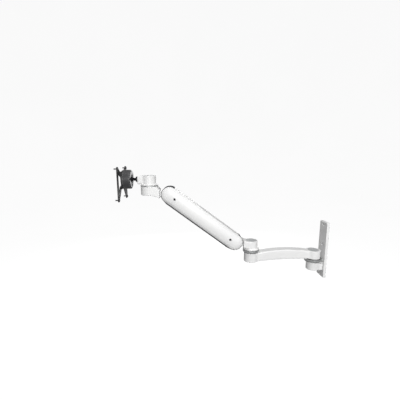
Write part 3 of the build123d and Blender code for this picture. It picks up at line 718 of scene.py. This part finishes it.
GROUND_STEEL = metal("ground_steel", (0.60, 0.61, 0.62), (0.52, 0.53, 0.55), (0.24, 0.4))
ZINC_STEEL = metal("zinc_steel", (0.62, 0.62, 0.58), (0.50, 0.50, 0.50), (0.32, 0.5), plated=True)
CHROME = metal("chromed_rod", (0.78, 0.78, 0.78), (0.72, 0.72, 0.73), (0.06, 0.12), scratch=0.03)
BLACK_OXIDE = metal("black_oxide_steel", (0.045, 0.045, 0.05), (0.03, 0.03, 0.034), (0.34, 0.5))
GREY_SCREW = metal("phosphated_screw", (0.22, 0.22, 0.225), (0.15, 0.15, 0.155), (0.36, 0.52))

FINISH = {
    "white_paint": WHITE_PAINT, "white_shell": WHITE_SHELL, "grey_cap": GREY_CAP,
    "dark_channel": DARK_CHANNEL, "zinc_steel": ZINC_STEEL, "ground_steel": GROUND_STEEL,
    "brushed_steel": TURNED_STEEL, "black_polymer": BLACK_POLYMER, "bush_polymer": BUSH_POLYMER,
    "black_paint": BLACK_PAINT, "chrome_rod": CHROME, "black_screw": BLACK_OXIDE,
    "black_oxide": BLACK_OXIDE, "drum_black": DRUM_PAINT, "grey_screw": GREY_SCREW,
}

for part in frame["record"]["subparts"]:
    carried = frame["nodes"][part["node"]]
    carried.data.materials.clear()
    carried.data.materials.append(FINISH[part["material_slot"]])


# ---------------------------------------------------------------- wall plate and bracket


def wall_plate(x, y, z):
    low, high = span("wall_plate")
    outline = rounded_box2(y, z, (low[1], high[1]), (low[2], high[2]), PLATE_CORNER)
    plate = both(outline, -x + low[0], 1.0)
    plate = both(plate, x - high[0], 0.3)
    for hole_z in PLATE_HOLES_Z:
        r = np.hypot(y, z - hole_z)
        cone = (r - PLATE_SINK_R + (x - low[0])) * math.sqrt(0.5)
        plate = without(plate, either(r - PLATE_HOLE_R, cone), 0.35)
    return plate


def hub_with_flare(x, y, z, swivel, low, high, flare_down, edge):
    """A hub that widens toward the thrust disc at one of its ends."""
    middle = (swivel.x, 0.0)
    hub = puck(x, y, z, middle, HUB_R, low, high, edge)
    lip = (low, low + FLARE_LIP) if flare_down else (high - FLARE_LIP, high)
    flare = puck(x, y, z, middle, swivel.disc_r - 0.5, *lip, 0.5)
    body = either(hub, flare, FLARE_FILLET)
    return both(body, between(z, low, high), 0.3)


def lower_bore(x, y, z, swivel, depth):
    return puck(x, y, z, (swivel.x, 0.0), SPINDLE_R, swivel.face - depth, swivel.face + OPEN_END)


def turning_bore(x, y, z, swivel):
    middle = (swivel.x, 0.0)
    above = swivel.top + OPEN_END
    bore = puck(x, y, z, middle, BUSH_R, swivel.bottom - OPEN_END, swivel.top)
    well = puck(x, y, z, middle, WELL_R, swivel.top - WELL_DEPTH, above)
    seat = puck(x, y, z, middle, swivel.cap_r + CAP_SEAT_GAP, swivel.top - CAP_SEAT, above)
    return either(bore, either(well, seat))


def wall_bracket(x, y, z):
    low, high = span("wall_bracket")
    body = hub_with_flare(x, y, z, WALL, low[2], WALL.face, False, 2.5)
    neck_top = WALL.face - BRACKET_NECK_DROP
    neck = rounded_box2(y, z, (-BRACKET_NECK_HALF, BRACKET_NECK_HALF), (low[2], neck_top), 3.0)
    neck = both(neck, between(x, WALL.x, high[0]), 0.3)
    body = either(body, neck, 3.5)
    body = both(body, low[2] - z, 1.0)
    body = both(body, x - high[0], 0.2)
    return without(body, lower_bore(x, y, z, WALL, BORE_DEPTH), BORE_LIP)


def extension_arm(x, y, z):
    top_x, top_z, top_r = circle_through(*BEAM_TOP)
    low_x, low_z, low_r = circle_through(*BEAM_BOTTOM)
    side = both(circle(x, z, top_x, top_z, top_r), -circle(x, z, low_x, low_z, low_r))
    side = both(side, between(x, ELBOW.x, WALL.x))
    beam = both(side, np.abs(y) - BEAM_HALF, 4.0)
    inner = puck(x, y, z, (WALL.x, 0.0), ARM_HUB_R, WALL.bottom, WALL.top, 1.6)
    outer = puck(x, y, z, (ELBOW.x, 0.0), ARM_HUB_R, span("extension_arm")[0][2], ELBOW.face, 1.6)
    body = either(either(beam, inner, 3.0), outer, 3.0)
    body = without(body, turning_bore(x, y, z, WALL), BORE_LIP)
    return without(body, lower_bore(x, y, z, ELBOW, BORE_DEPTH), BORE_LIP)


# ---------------------------------------------------------------- knuckles


def cheeks(x, y, z, pivot, face_x, lug):
    """Two plates that carry the main pivot and the second link's pivot above it."""
    root_x = face_x + math.copysign(LUG_ROOT, face_x - pivot[0])
    outline = hull2(x, z, [(pivot[0], pivot[2], LUG_R), (pivot[0], pivot[2] + LINK_SPACING, LUG_TOP_R),
                           (root_x, pivot[2] + lug[0], 1.0), (root_x, pivot[2] + lug[1], 1.0)])
    plates = both(outline, between(np.abs(y), *CHEEK_Y), 0.8)
    plates = without(plates, circle(x, z, pivot[0], pivot[2], PIN_R), 0.3)
    return without(plates, circle(x, z, pivot[0], pivot[2] + LINK_SPACING, LINK_PIN_R), 0.3)


def elbow_knuckle(x, y, z):
    body = hub_with_flare(x, y, z, ELBOW, ELBOW.bottom, ELBOW.top, True, 1.5)
    face = ELBOW_FACE_X
    fin_end = face + ELBOW_FIN_REACH
    slab_top = ELBOW.top - 1.0
    scoop_x, scoop_z, scoop_r = circle_through(
        (face, ELBOW_FIN_TOP), (face + ELBOW_SCOOP[0], ELBOW_FIN_TOP - ELBOW_SCOOP[1]), (fin_end, slab_top))
    floor = -below_line(x, z, (face, ELBOW_NECK_LOW),
                        (ELBOW.x - ELBOW_NECK_START[0], ELBOW.bottom + ELBOW_NECK_START[1]))
    slab = both(both(between(x, face, ELBOW.x), z - slab_top), floor)
    fin = both(between(x, face, fin_end), between(z, ELBOW_FIN_LOW, ELBOW_FIN_TOP))
    fin = without(fin, circle(x, z, scoop_x, scoop_z, scoop_r), 0.8)
    side = either(slab, fin)
    neck = both(side, np.abs(y) - HUB_R, 3.5)
    body = either(body, neck, 2.0)
    body = both(body, face - x, 1.2)
    body = either(body, cheeks(x, y, z, REAR_PIVOT, face, ELBOW_LUG), 1.0)
    return without(body, turning_bore(x, y, z, ELBOW), BORE_LIP)


def front_knuckle(x, y, z):
    face = FRONT_FACE_X
    low, high = span("front_knuckle")[0][2], FRONT.face
    flat_low = high - FRONT_DEPTH
    heel_start = FRONT.x + FRONT_HEEL_START
    heel_x, heel_z, heel_r = circle_through(
        (heel_start, flat_low), (FRONT.x + FRONT_HEEL_BEND[0], flat_low - FRONT_HEEL_BEND[1]), (face, low))
    plan_r = FRONT.disc_r - 0.5
    plan_x, plan_y = face + FRONT_PLAN_REACH, plan_r - FRONT_TAPER
    plan = hull2(x, y, [(FRONT.x, 0.0, plan_r), (plan_x, -plan_y, 0.0), (plan_x, plan_y, 0.0)])
    under = np.where(x < heel_start, flat_low - z, -circle(x, z, heel_x, heel_z, heel_r))
    back = face - FRONT_SHOULDER
    slope_x, slope_z, slope_r = circle_through(
        (face, high - FRONT_SHOULDER), (face - FRONT_SHOULDER_BEND, high - FRONT_SHOULDER_BEND), (back, high))
    slope_side = either(circle(x, z, slope_x, slope_z, slope_r), x - back)
    shoulder = both(both(z - high, x - face), slope_side, 1.0)
    body = both(both(plan, shoulder, 2.0), under, 1.4)
    pad = puck(x, y, z, (FRONT.x, 0.0), plan_r, high - FRONT_SHOULDER, high, 0.8)
    body = either(body, pad)
    stop_low, stop_high = span("lift_stop_screw")
    stop_x = (stop_low[0] + stop_high[0]) / 2
    seat_r = (stop_high[0] - stop_low[0]) / 2 + STOP_SEAT_GAP
    stop_seat = puck(x, y, z, (stop_x, 0.0), seat_r, high - STOP_SINK, high + OPEN_END)
    body = without(body, stop_seat, 0.4)
    body = either(body, cheeks(x, y, z, FRONT_PIVOT, face, FRONT_LUG), 1.0)
    return without(body, lower_bore(x, y, z, FRONT, FRONT_BORE_DEPTH), BORE_LIP)


def tilter_hub(x, y, z):
    body = hub_with_flare(x, y, z, FRONT, FRONT.bottom, FRONT.top, True, 1.5)
    end = span("tilter_hub")[0][0]
    end_block = rounded_box2(y, z, (-HEAD_BLOCK_HALF, HEAD_BLOCK_HALF),
                             (FRONT.bottom + HEAD_BLOCK_LOW, FRONT.top - 1.0), 3.5)
    end_block = both(end_block, between(x, end, FRONT.x), 3.5)
    body = either(body, end_block, 3.0)
    body = both(body, FRONT.bottom - z, 0.3)
    body = without(body, turning_bore(x, y, z, FRONT), BORE_LIP)
    stud = both(np.hypot(y, z - HEAD[2]) - STUD_R, between(x, end - OPEN_END, end + HEAD_STUD_DEPTH))
    return without(body, stud, 0.5)


# ---------------------------------------------------------------- lift arm shells and channel


def shell_outer(s, y, n, inset):
    """Bevelled and crowned half body, with a groove on its outside; s runs along the arm, n across it."""
    r = beam2(s, n, (-LINK_LENGTH, 0.0), (0.0, 0.0), 0.0)
    rim_r = SHELL_R - inset
    crease_r = rim_r - SHELL_BEVEL
    shoulder = SHELL_SHOULDER_Y - inset
    rise = SHELL_CROWN_Y - SHELL_SHOULDER_Y
    bevel_low = SHELL_RIM_Y + SHELL_RIM_LIP
    bevel = below_line(-r, y, (-rim_r, bevel_low), (-crease_r, shoulder))
    crown = (y - shoulder - rise * (1 - (r / crease_r) ** 2)) / math.hypot(1.0, 2 * rise / crease_r)
    body = both(r - rim_r, bevel, 1.2)
    body = both(body, crown, 0.5)
    if inset == 0:
        away = np.hypot(r - crease_r, y - shoulder)
        body = body + CREASE_DEPTH * np.exp(-(away / CREASE_WIDTH) ** 2)
    return body


def cover(s, y, n):
    """One hollow cover with its roof strip and screw posts, on the +Y side."""
    shell = without(shell_outer(s, y, n, 0.0), shell_outer(s, y, n, SHELL_WALL))
    shell = both(shell, SHELL_RIM_Y - y, 0.4)
    roof = both(between(n, SHELL_R - SHELL_WALL, SHELL_R), between(s, -LINK_LENGTH, 0.0), 0.4)
    roof = both(roof, between(y, SEAM_HALF, SHELL_RIM_Y + ROOF_LAP), 0.4)
    shell = either(shell, roof)
    for place in (-SHELL_SCREW_INSET, -LINK_LENGTH + SHELL_SCREW_INSET):
        away = np.hypot(s - place, n)
        post = both(away - SHELL_POST_R, between(y, CHANNEL_Y[1], SHELL_CROWN_Y - 1.5))
        shell = either(shell, post, 0.8)
        shell = without(shell, away - SHELL_SCREW_R)
        seat = both(away - SHELL_SCREW_SEAT_R, SHELL_CROWN_Y - SHELL_SCREW_SEAT_DEPTH - y)
        shell = without(shell, seat, 0.4)
    return shell


def near_cover(s, y, n):
    return cover(s, -y, n)


def main_link(s, y, n):
    """Folded channel: a floor and two walls with bend radii."""
    toe, toe_r = CHANNEL_TOE
    outline = hull2(s, n, [(0, 0, CHANNEL_R), (-LINK_LENGTH, 0, CHANNEL_R),
                           (-toe, CHANNEL_LOW + toe_r, toe_r),
                           (-LINK_LENGTH + toe, CHANNEL_LOW + toe_r, toe_r)])
    under_roof = both(between(s, -LINK_LENGTH - 0.3, 0.3), SHELL_R - SHELL_WALL - CHANNEL_ROOF_GAP - n)
    outline = without(outline, under_roof, 0.5)
    outer = both(outline, both(np.abs(y) - CHANNEL_Y[1], CHANNEL_LOW - n, CHANNEL_BEND_R), 0.5)
    inner = both(np.abs(y) - CHANNEL_Y[0], CHANNEL_LOW + CHANNEL_FLOOR - n, 1.0)
    channel = without(outer, inner, 0.5)
    for place in (0.0, -LINK_LENGTH):
        channel = without(channel, circle(s, n, place, 0.0, PIN_R + CHANNEL_PIN_ROOM), 0.3)
    return channel


# ---------------------------------------------------------------- tilt head and screen plate


def drum(x, y, z):
    """Housing with a rounded back, conical mouth and the slot for tilting down."""
    r = np.hypot(y, z - HEAD[2])
    body = both(r - DRUM_R, x - DRUM_BACK_X, 4.5)
    body = both(body, LID_BACK_X - x, 0.9)
    mouth_start = HEAD[0] + MOUTH_START
    widen = (MOUTH_R - CAVITY_R) / (DRUM_BACK_X + 0.5 - mouth_start)
    mouth = (r - CAVITY_R - (x - mouth_start) * widen) / math.hypot(1.0, widen)
    mouth = both(mouth, mouth_start - x)
    body = without(body, mouth, 0.8)
    body = without(body, both(r - CAVITY_R, HEAD[0] - x), 0.4)
    body = without(body, both(r - SEAT_R, x - (HEAD[0] + SEAT_START)), 0.3)
    slot_low, slot_start = HEAD[2] - SLOT_DROP, HEAD[0] + SLOT_START - x
    slot_side = np.abs(y) - SLOT_HALF
    slot = both(slot_side, beam2(x, z, (HEAD[0] + SLOT_ROUND, slot_low), (DRUM_BACK_X + SLOT_PAST, slot_low),
                                 SLOT_HALF))
    slot = either(slot, both(slot_side, both(between(z, slot_low, HEAD[2]), slot_start)))
    slot = both(slot, slot_start)
    return without(body, slot, 0.8)


def drum_lid(x, y, z):
    """Disc that closes the drum, with the boss the screen plate turns on."""
    low, high = span("housing_front_plate")
    u, v = y, z - HEAD[2]
    r = np.hypot(u, v)
    lid = both(r - DRUM_R, between(x, LID_FRONT_X, high[0]), 0.7)
    boss = both(r - BOSS_R, between(x, low[0], high[0]), 0.4)
    lid = either(lid, boss)
    lid = without(lid, both(r - TURNING_SCREW_R, x - LID_FRONT_X - TURNING_SCREW_R), 0.2)
    reach = LID_SCREW_CIRCLE * math.sqrt(0.5)
    away = np.hypot(np.abs(u) - reach, np.abs(v) - reach)
    seat_r, seat_depth = LID_SCREW_SEAT
    seat = both(away - seat_r, x - LID_FRONT_X - seat_depth)
    return without(lid, either(away - LID_SCREW_HOLE_R, seat), 0.2)


def jam_nut(x, y, z):
    """Hexagon nut with chamfered corners."""
    low, high = span("ball_stud_nut")
    v = z - HEAD[2]
    r = np.hypot(y, v)
    flats = high[1] - low[1]
    nut = both(hexagon(y, v, flats), between(x, low[0], high[0]), 0.3)
    from_end = np.minimum(x - low[0], high[0] - x)
    chamfer = (r - flats / 2 - 0.1 - NUT_CHAMFER * from_end) / math.hypot(1.0, NUT_CHAMFER)
    nut = both(nut, chamfer, 0.2)
    return without(nut, r - STUD_R, 0.4)


def retaining_screw(x, y, z):
    """Flanged screw with a hexagon socket."""
    low, high = span("vesa_retaining_screw")
    v = z - HEAD[2]
    r = np.hypot(y, v)
    boss_end = span("housing_front_plate")[0][0]
    flange_r, flange_drop = TURNING_FLANGE
    flats, socket_depth = TURNING_SOCKET
    flange = both(r - flange_r, between(x, low[0] + flange_drop, boss_end - 0.05), 0.4)
    head = both(r - TURNING_HEAD_R, between(x, low[0], boss_end - 0.1), 0.6)
    shank = both(r - TURNING_SCREW_R, between(x, boss_end - 0.5, high[0]), 0.3)
    screw = either(either(flange, head, 0.8), shank)
    return without(screw, both(hexagon(y, v, flats), x - low[0] - socket_depth), 0.2)


def screen_screw(x, y, z):
    """Pan-head screw with a cross recess; x = 0 is the seat of its head."""
    r = np.hypot(y, z)
    head = both(r - SCREW_HEAD_R, between(x, 0.0, PAN_HEAD), 0.9)
    wide, narrow, bottom = CROSS
    bar = both(np.abs(y) - narrow, np.abs(z) - wide)
    cross = either(bar, both(np.abs(y) - wide, np.abs(z) - narrow))
    head = without(head, both(cross, bottom - x), 0.15)
    ridge = THREAD_DEPTH * (1.0 - np.cos(2 * math.pi * x / PAN_PITCH + np.arctan2(z, y)))
    shank = both(r - PAN_SHANK_R + ridge, between(x, PAD_FAR_X - SCREEN_SEAT_X - PAN_SHANK, 0.4), 0.3)
    return either(head, shank, 0.2)


def cover_screw(s, y, n):
    """Socket screw of a cover; it points along -Y from the recess at s = 0."""
    r = np.hypot(s, n)
    low, high = (SHELL_CROWN_Y - drop for drop in SHELL_SCREW_HEAD)
    flats, socket_depth = SHELL_SCREW_SOCKET
    head = both(r - SCREW_HEAD_R, between(y, low, high), 0.5)
    head = without(head, both(hexagon(s, n, flats), high - socket_depth - y), 0.15)
    shank = both(r - SHELL_SCREW_R, between(y, CHANNEL_Y[0], low + 0.5), 0.3)
    return either(head, shank, 0.2)


def vesa_plate(x, y, z):
    """Pressed sheet: disc, four arms and two side bars, with a joggle round the disc."""
    u, v = y, z - HEAD[2]
    r = np.hypot(u, v)
    t = np.clip((r - JOGGLE_START) / JOGGLE_WIDTH, 0, 1)
    middle = SHEET_NEAR_X - SHEET / 2 - JOGGLE * t * t * (3 - 2 * t)
    outline = r - SPIDER_DISC_R
    drop = VESA_Z - HEAD[2]
    height = (VESA_LOW[2] - HEAD[2], VESA_HIGH[2] - HEAD[2])
    for cy in (-VESA_100, VESA_100):
        for cz in (-VESA_100, VESA_100):
            arm = beam2(u, v, (0.0, 0.0), (cy, drop + cz), SPIDER_ARM_HALF)
            outline = either(outline, arm, SPIDER_FILLET)
    for cy in (-VESA_100, VESA_100):
        width = (cy - SPIDER_BAR_HALF, cy + SPIDER_BAR_HALF)
        outline = either(outline, rounded_box2(u, v, width, height, SPIDER_CORNER), SPIDER_CORNER)
    outline = both(outline, rounded_box2(u, v, (VESA_LOW[1], VESA_HIGH[1]), height, SPIDER_CORNER))
    outline = without(outline, r - SPIDER_BORE_R)
    for half in (VESA_100, VESA_75):
        for cy in (-half, half):
            for cz in (-half, half):
                outline = without(outline, circle(u, v, cy, drop + cz, SPIDER_HOLE_R))
    return both(outline, (np.abs(x - middle) - SHEET / 2 + SHEET_SLACK) * SHEET_STEEP, 0.55)


# ---------------------------------------------------------------- build

cast("wall_plate_steel", "wall_mount", WHITE_PAINT, "white_paint", ["wall_plate"],
     wall_plate, *span("wall_plate"), 1.0)
cast("wall_bracket_casting", "wall_mount", WHITE_PAINT, "white_paint", ["wall_bracket"],
     wall_bracket, *span("wall_bracket"), 0.9)
cast("extension_casting", "extension", WHITE_PAINT, "white_paint", ["extension_arm"],
     extension_arm, *span("extension_arm"), 1.1)
cast("elbow_casting", "elbow", WHITE_PAINT, "white_paint", ["elbow_knuckle"],
     elbow_knuckle, *span("elbow_knuckle"), 0.9)
cast("front_casting", "front", WHITE_PAINT, "white_paint", ["front_knuckle"],
     front_knuckle, *span("front_knuckle"), 0.9)
cast("head_casting", "head", WHITE_PAINT, "white_paint", ["tilter_hub"],
     tilter_hub, *span("tilter_hub"), 0.8)

shell_low = (-LINK_LENGTH - SHELL_R, 0.0, -SHELL_R)
shell_high = (SHELL_R, SHELL_CROWN_Y, SHELL_R)
stretch_end = SHELL_SCREW_INSET + 6.0
middle_stretch = (-LINK_LENGTH + stretch_end, -stretch_end, 4.0)
cast("far_shell", "lift_arm", WHITE_SHELL, "white_shell", ["far_cover"], cover,
     shell_low, shell_high, 0.62, level=True, coarse=middle_stretch)
cast("near_shell", "lift_arm", WHITE_SHELL, "white_shell", ["near_cover"], near_cover,
     (shell_low[0], -SHELL_CROWN_Y, shell_low[2]), (shell_high[0], 0.0, shell_high[2]), 0.62,
     level=True, coarse=middle_stretch)
cast("arm_channel", "lift_arm", DARK_CHANNEL, "dark_channel", ["main_link"], main_link,
     (-LINK_LENGTH - CHANNEL_R, -CHANNEL_Y[1], CHANNEL_LOW), (CHANNEL_R, CHANNEL_Y[1], CHANNEL_R), 0.8,
     level=True, coarse=middle_stretch)

cast("tilt_drum", "tilter", DRUM_PAINT, "drum_black", ["tilter_housing"],
     drum, *span("tilter_housing"), 0.7)
cast("screen_spider", "screen_mount", BLACK_PAINT, "black_paint", ["vesa_plate"],
     vesa_plate, *span("vesa_plate"), 0.8)

cast("drum_front_lid", "tilter", DRUM_PAINT, "drum_black", ["housing_front_plate"],
     drum_lid, *span("housing_front_plate"), 0.7)
cast("stud_jam_nut", "head", BLACK_OXIDE, "black_oxide", ["ball_stud_nut"],
     jam_nut, *span("ball_stud_nut"), 0.4)
cast("turning_screw", "tilter", BLACK_OXIDE, "black_screw", ["vesa_retaining_screw"],
     retaining_screw, *span("vesa_retaining_screw"), 0.5)
corners = [(SCREEN_SEAT_X, y, VESA_Z + z) for y in (-VESA_100, VESA_100) for z in (-VESA_100, VESA_100)]
cast("screen_screws", "screen_mount", GREY_SCREW, "grey_screw", ["vesa_screws"], screen_screw,
     (PAD_FAR_X - SCREEN_SEAT_X - PAN_SHANK, -SCREW_HEAD_R, -SCREW_HEAD_R),
     (PAN_HEAD, SCREW_HEAD_R, SCREW_HEAD_R), 0.25, places=corners)
cast("shell_screws", "lift_arm", BLACK_OXIDE, "black_screw", ["cover_screws"], cover_screw,
     (-SCREW_HEAD_R, CHANNEL_Y[0], -SCREW_HEAD_R), (SCREW_HEAD_R, SHELL_CROWN_Y, SCREW_HEAD_R), 0.3,
     level=True, mirrored=True,
     places=[(-SHELL_SCREW_INSET, 0, 0), (-LINK_LENGTH + SHELL_SCREW_INSET, 0, 0)])

ball_start = math.acos(BALL_NECK_R / BALL_R)
stud_end = span("ball_stud")[1][0] - HEAD[0]
ball_arc = [(BALL_R * math.cos(t), BALL_R * math.sin(t), 0)
            for t in np.linspace(-math.pi / 2, ball_start, 25)]
thread = []
for h in np.arange(THREAD_START, stud_end - THREAD_PITCH, THREAD_PITCH):
    thread += [(STUD_R - 0.6, h, 0), (STUD_R, h + 0.6, 0), (STUD_R, h + 0.9, 0)]
turned("threaded_ball_stud", "head", BLACK_OXIDE, ["ball_stud"],
       [(0, -BALL_R, 0)] + ball_arc[1:] + [(BALL_NECK_R, BALL_NECK_END, 0)] + thread
       + [(STUD_R - 0.8, stud_end, 0), (0, stud_end, 0)], tuple(HEAD), axis="X", segments=64)

for swivel, cap_body, disc_body in ((WALL, "extension", "wall_mount"), (ELBOW, "elbow", "extension"),
                                    (FRONT, "head", "front")):
    disc_low, disc_high = span(swivel.name + "_thrust_disc")
    half = (disc_high[2] - disc_low[2]) / 2
    bore = SPINDLE_R + 0.4
    turned(swivel.name + "_disc", disc_body, TURNED_STEEL,
           [swivel.name + "_thrust_disc"],
           [(bore, -half, 0.2), (swivel.disc_r, -half, 0.5), (swivel.disc_r, half, 0.5),
            (bore, half, 0.2)], (swivel.x, 0, disc_low[2] + half))
    depth = swivel.top - swivel.cap_low
    skirt, hollow = WELL_R - 0.1, WELL_R - 1.7
    turned(swivel.name + "_cover_cap", cap_body, GREY_CAP, [swivel.name + "_cap"],
           [(0, 0.0, 0), (swivel.cap_r - 2.6, -0.05, 2.0), (swivel.cap_r, -0.45, 0.4),
            (swivel.cap_r, -CAP_SEAT, 0.2), (skirt, -CAP_SEAT, 0.2), (skirt, -depth, 0.3),
            (hollow, -depth, 0.3), (hollow, -CAP_SEAT, 0.5), (0, -CAP_SEAT, 0)],
           (swivel.x, 0, swivel.top))


# ---------------------------------------------------------------- floor, lights and camera


BOWL_R = 8000.0
BOWL_SWEEP = 3000.0
BOWL_HEIGHT = 9000.0
BOWL_WALL = 60.0


def stage_floor():
    """Pale floor that sweeps up all round, so no horizon shows."""
    n = Nodes("floor_paper")
    n.set(Base_Color=n.mix(n.range(n.noise(0.7, 2.0), 0.0, 1.0), (0.2, 0.2, 0.2), (0.22, 0.22, 0.22)),
          Roughness=n.range(n.noise(3.0, 3.0), 0.8, 0.92),
          Emission_Color=(1.0, 1.0, 1.0), Emission_Strength=0.88)
    outside = BOWL_R + BOWL_WALL
    mesh = lathe("floor", [(0, 0, 0), (BOWL_R, 0, BOWL_SWEEP), (BOWL_R, BOWL_HEIGHT, 0),
                           (outside, BOWL_HEIGHT, 0), (outside, -BOWL_WALL, 0), (0, -BOWL_WALL, 0)], 96, 24)
    mesh.shade_smooth()
    mesh.set_sharp_from_angle(angle=math.radians(38))
    floor = bpy.data.objects.new("floor", mesh)
    bpy.context.scene.collection.objects.link(floor)
    mesh.materials.append(n.material)
    floor.location = (-0.35, 0, cad_box[0][2] - 0.55)
    floor.visible_diffuse = False
    floor.visible_glossy = False
    floor.visible_shadow = False


def soft_light(name, place, aim, size, power, colour=(1, 1, 1)):
    data = bpy.data.lights.new(name, "AREA")
    data.shape = "RECTANGLE"
    data.size, data.size_y = size
    data.energy = power
    data.color = colour
    lamp = bpy.data.objects.new(name, data)
    bpy.context.scene.collection.objects.link(lamp)
    lamp.location = place
    lamp.rotation_euler = (Vector(aim) - Vector(place)).to_track_quat("-Z", "Y").to_euler()


def studio_world():
    world = bpy.data.worlds.new("studio")
    bpy.context.scene.world = world
    world.use_nodes = True
    tree = world.node_tree
    tree.nodes.clear()
    output = tree.nodes.new("ShaderNodeOutputWorld")
    seen = tree.nodes.new("ShaderNodeBackground")
    seen.inputs["Color"].default_value = (0.96, 0.96, 0.96, 1)
    seen.inputs["Strength"].default_value = 1.0
    lit = tree.nodes.new("ShaderNodeBackground")
    lit.inputs["Strength"].default_value = 0.36
    place = tree.nodes.new("ShaderNodeTexCoord")
    split = tree.nodes.new("ShaderNodeSeparateXYZ")
    ramp = tree.nodes.new("ShaderNodeValToRGB")
    ramp.color_ramp.elements[0].position = 0.0
    ramp.color_ramp.elements[0].color = (0.7, 0.7, 0.7, 1)
    ramp.color_ramp.elements[1].position = 1.0
    ramp.color_ramp.elements[1].color = (1.0, 1.0, 1.0, 1)
    tree.links.new(place.outputs["Generated"], split.inputs[0])
    tree.links.new(split.outputs[2], ramp.inputs[0])
    tree.links.new(ramp.outputs[0], lit.inputs["Color"])
    ray = tree.nodes.new("ShaderNodeLightPath")
    choose = tree.nodes.new("ShaderNodeMixShader")
    tree.links.new(ray.outputs["Is Camera Ray"], choose.inputs[0])
    tree.links.new(lit.outputs[0], choose.inputs[1])
    tree.links.new(seen.outputs[0], choose.inputs[2])
    tree.links.new(choose.outputs[0], output.inputs["Surface"])


stage_floor()
studio_world()
aim_point = (-0.35, 0.0, 0.1)
soft_light("key_light", (-0.1, -2.3, 0.75), aim_point, (1.2, 0.9), 44.0)
soft_light("top_light", (-0.35, -0.8, 3.0), aim_point, (1.0, 0.8), 26.0)
soft_light("back_light", (-0.6, 2.4, 0.25), aim_point, (1.2, 0.9), 12.0)

camera_data = bpy.data.cameras.new("photo_camera")
camera = bpy.data.objects.new("photo_camera", camera_data)
bpy.context.scene.collection.objects.link(camera)
camera.location = (-0.4695, -0.8728, 0.3251)
camera.rotation_euler = (math.radians(80.1), 0.0, math.radians(-2.5))
camera_data.lens = 23.07
camera_data.sensor_width = 36.0
camera_data.shift_x = -0.015
camera_data.shift_y = 0.00725
camera_data.clip_start = 0.01
camera_data.clip_end = 60.0
bpy.context.scene.camera = camera
bpy.context.scene.view_settings.view_transform = "Standard"
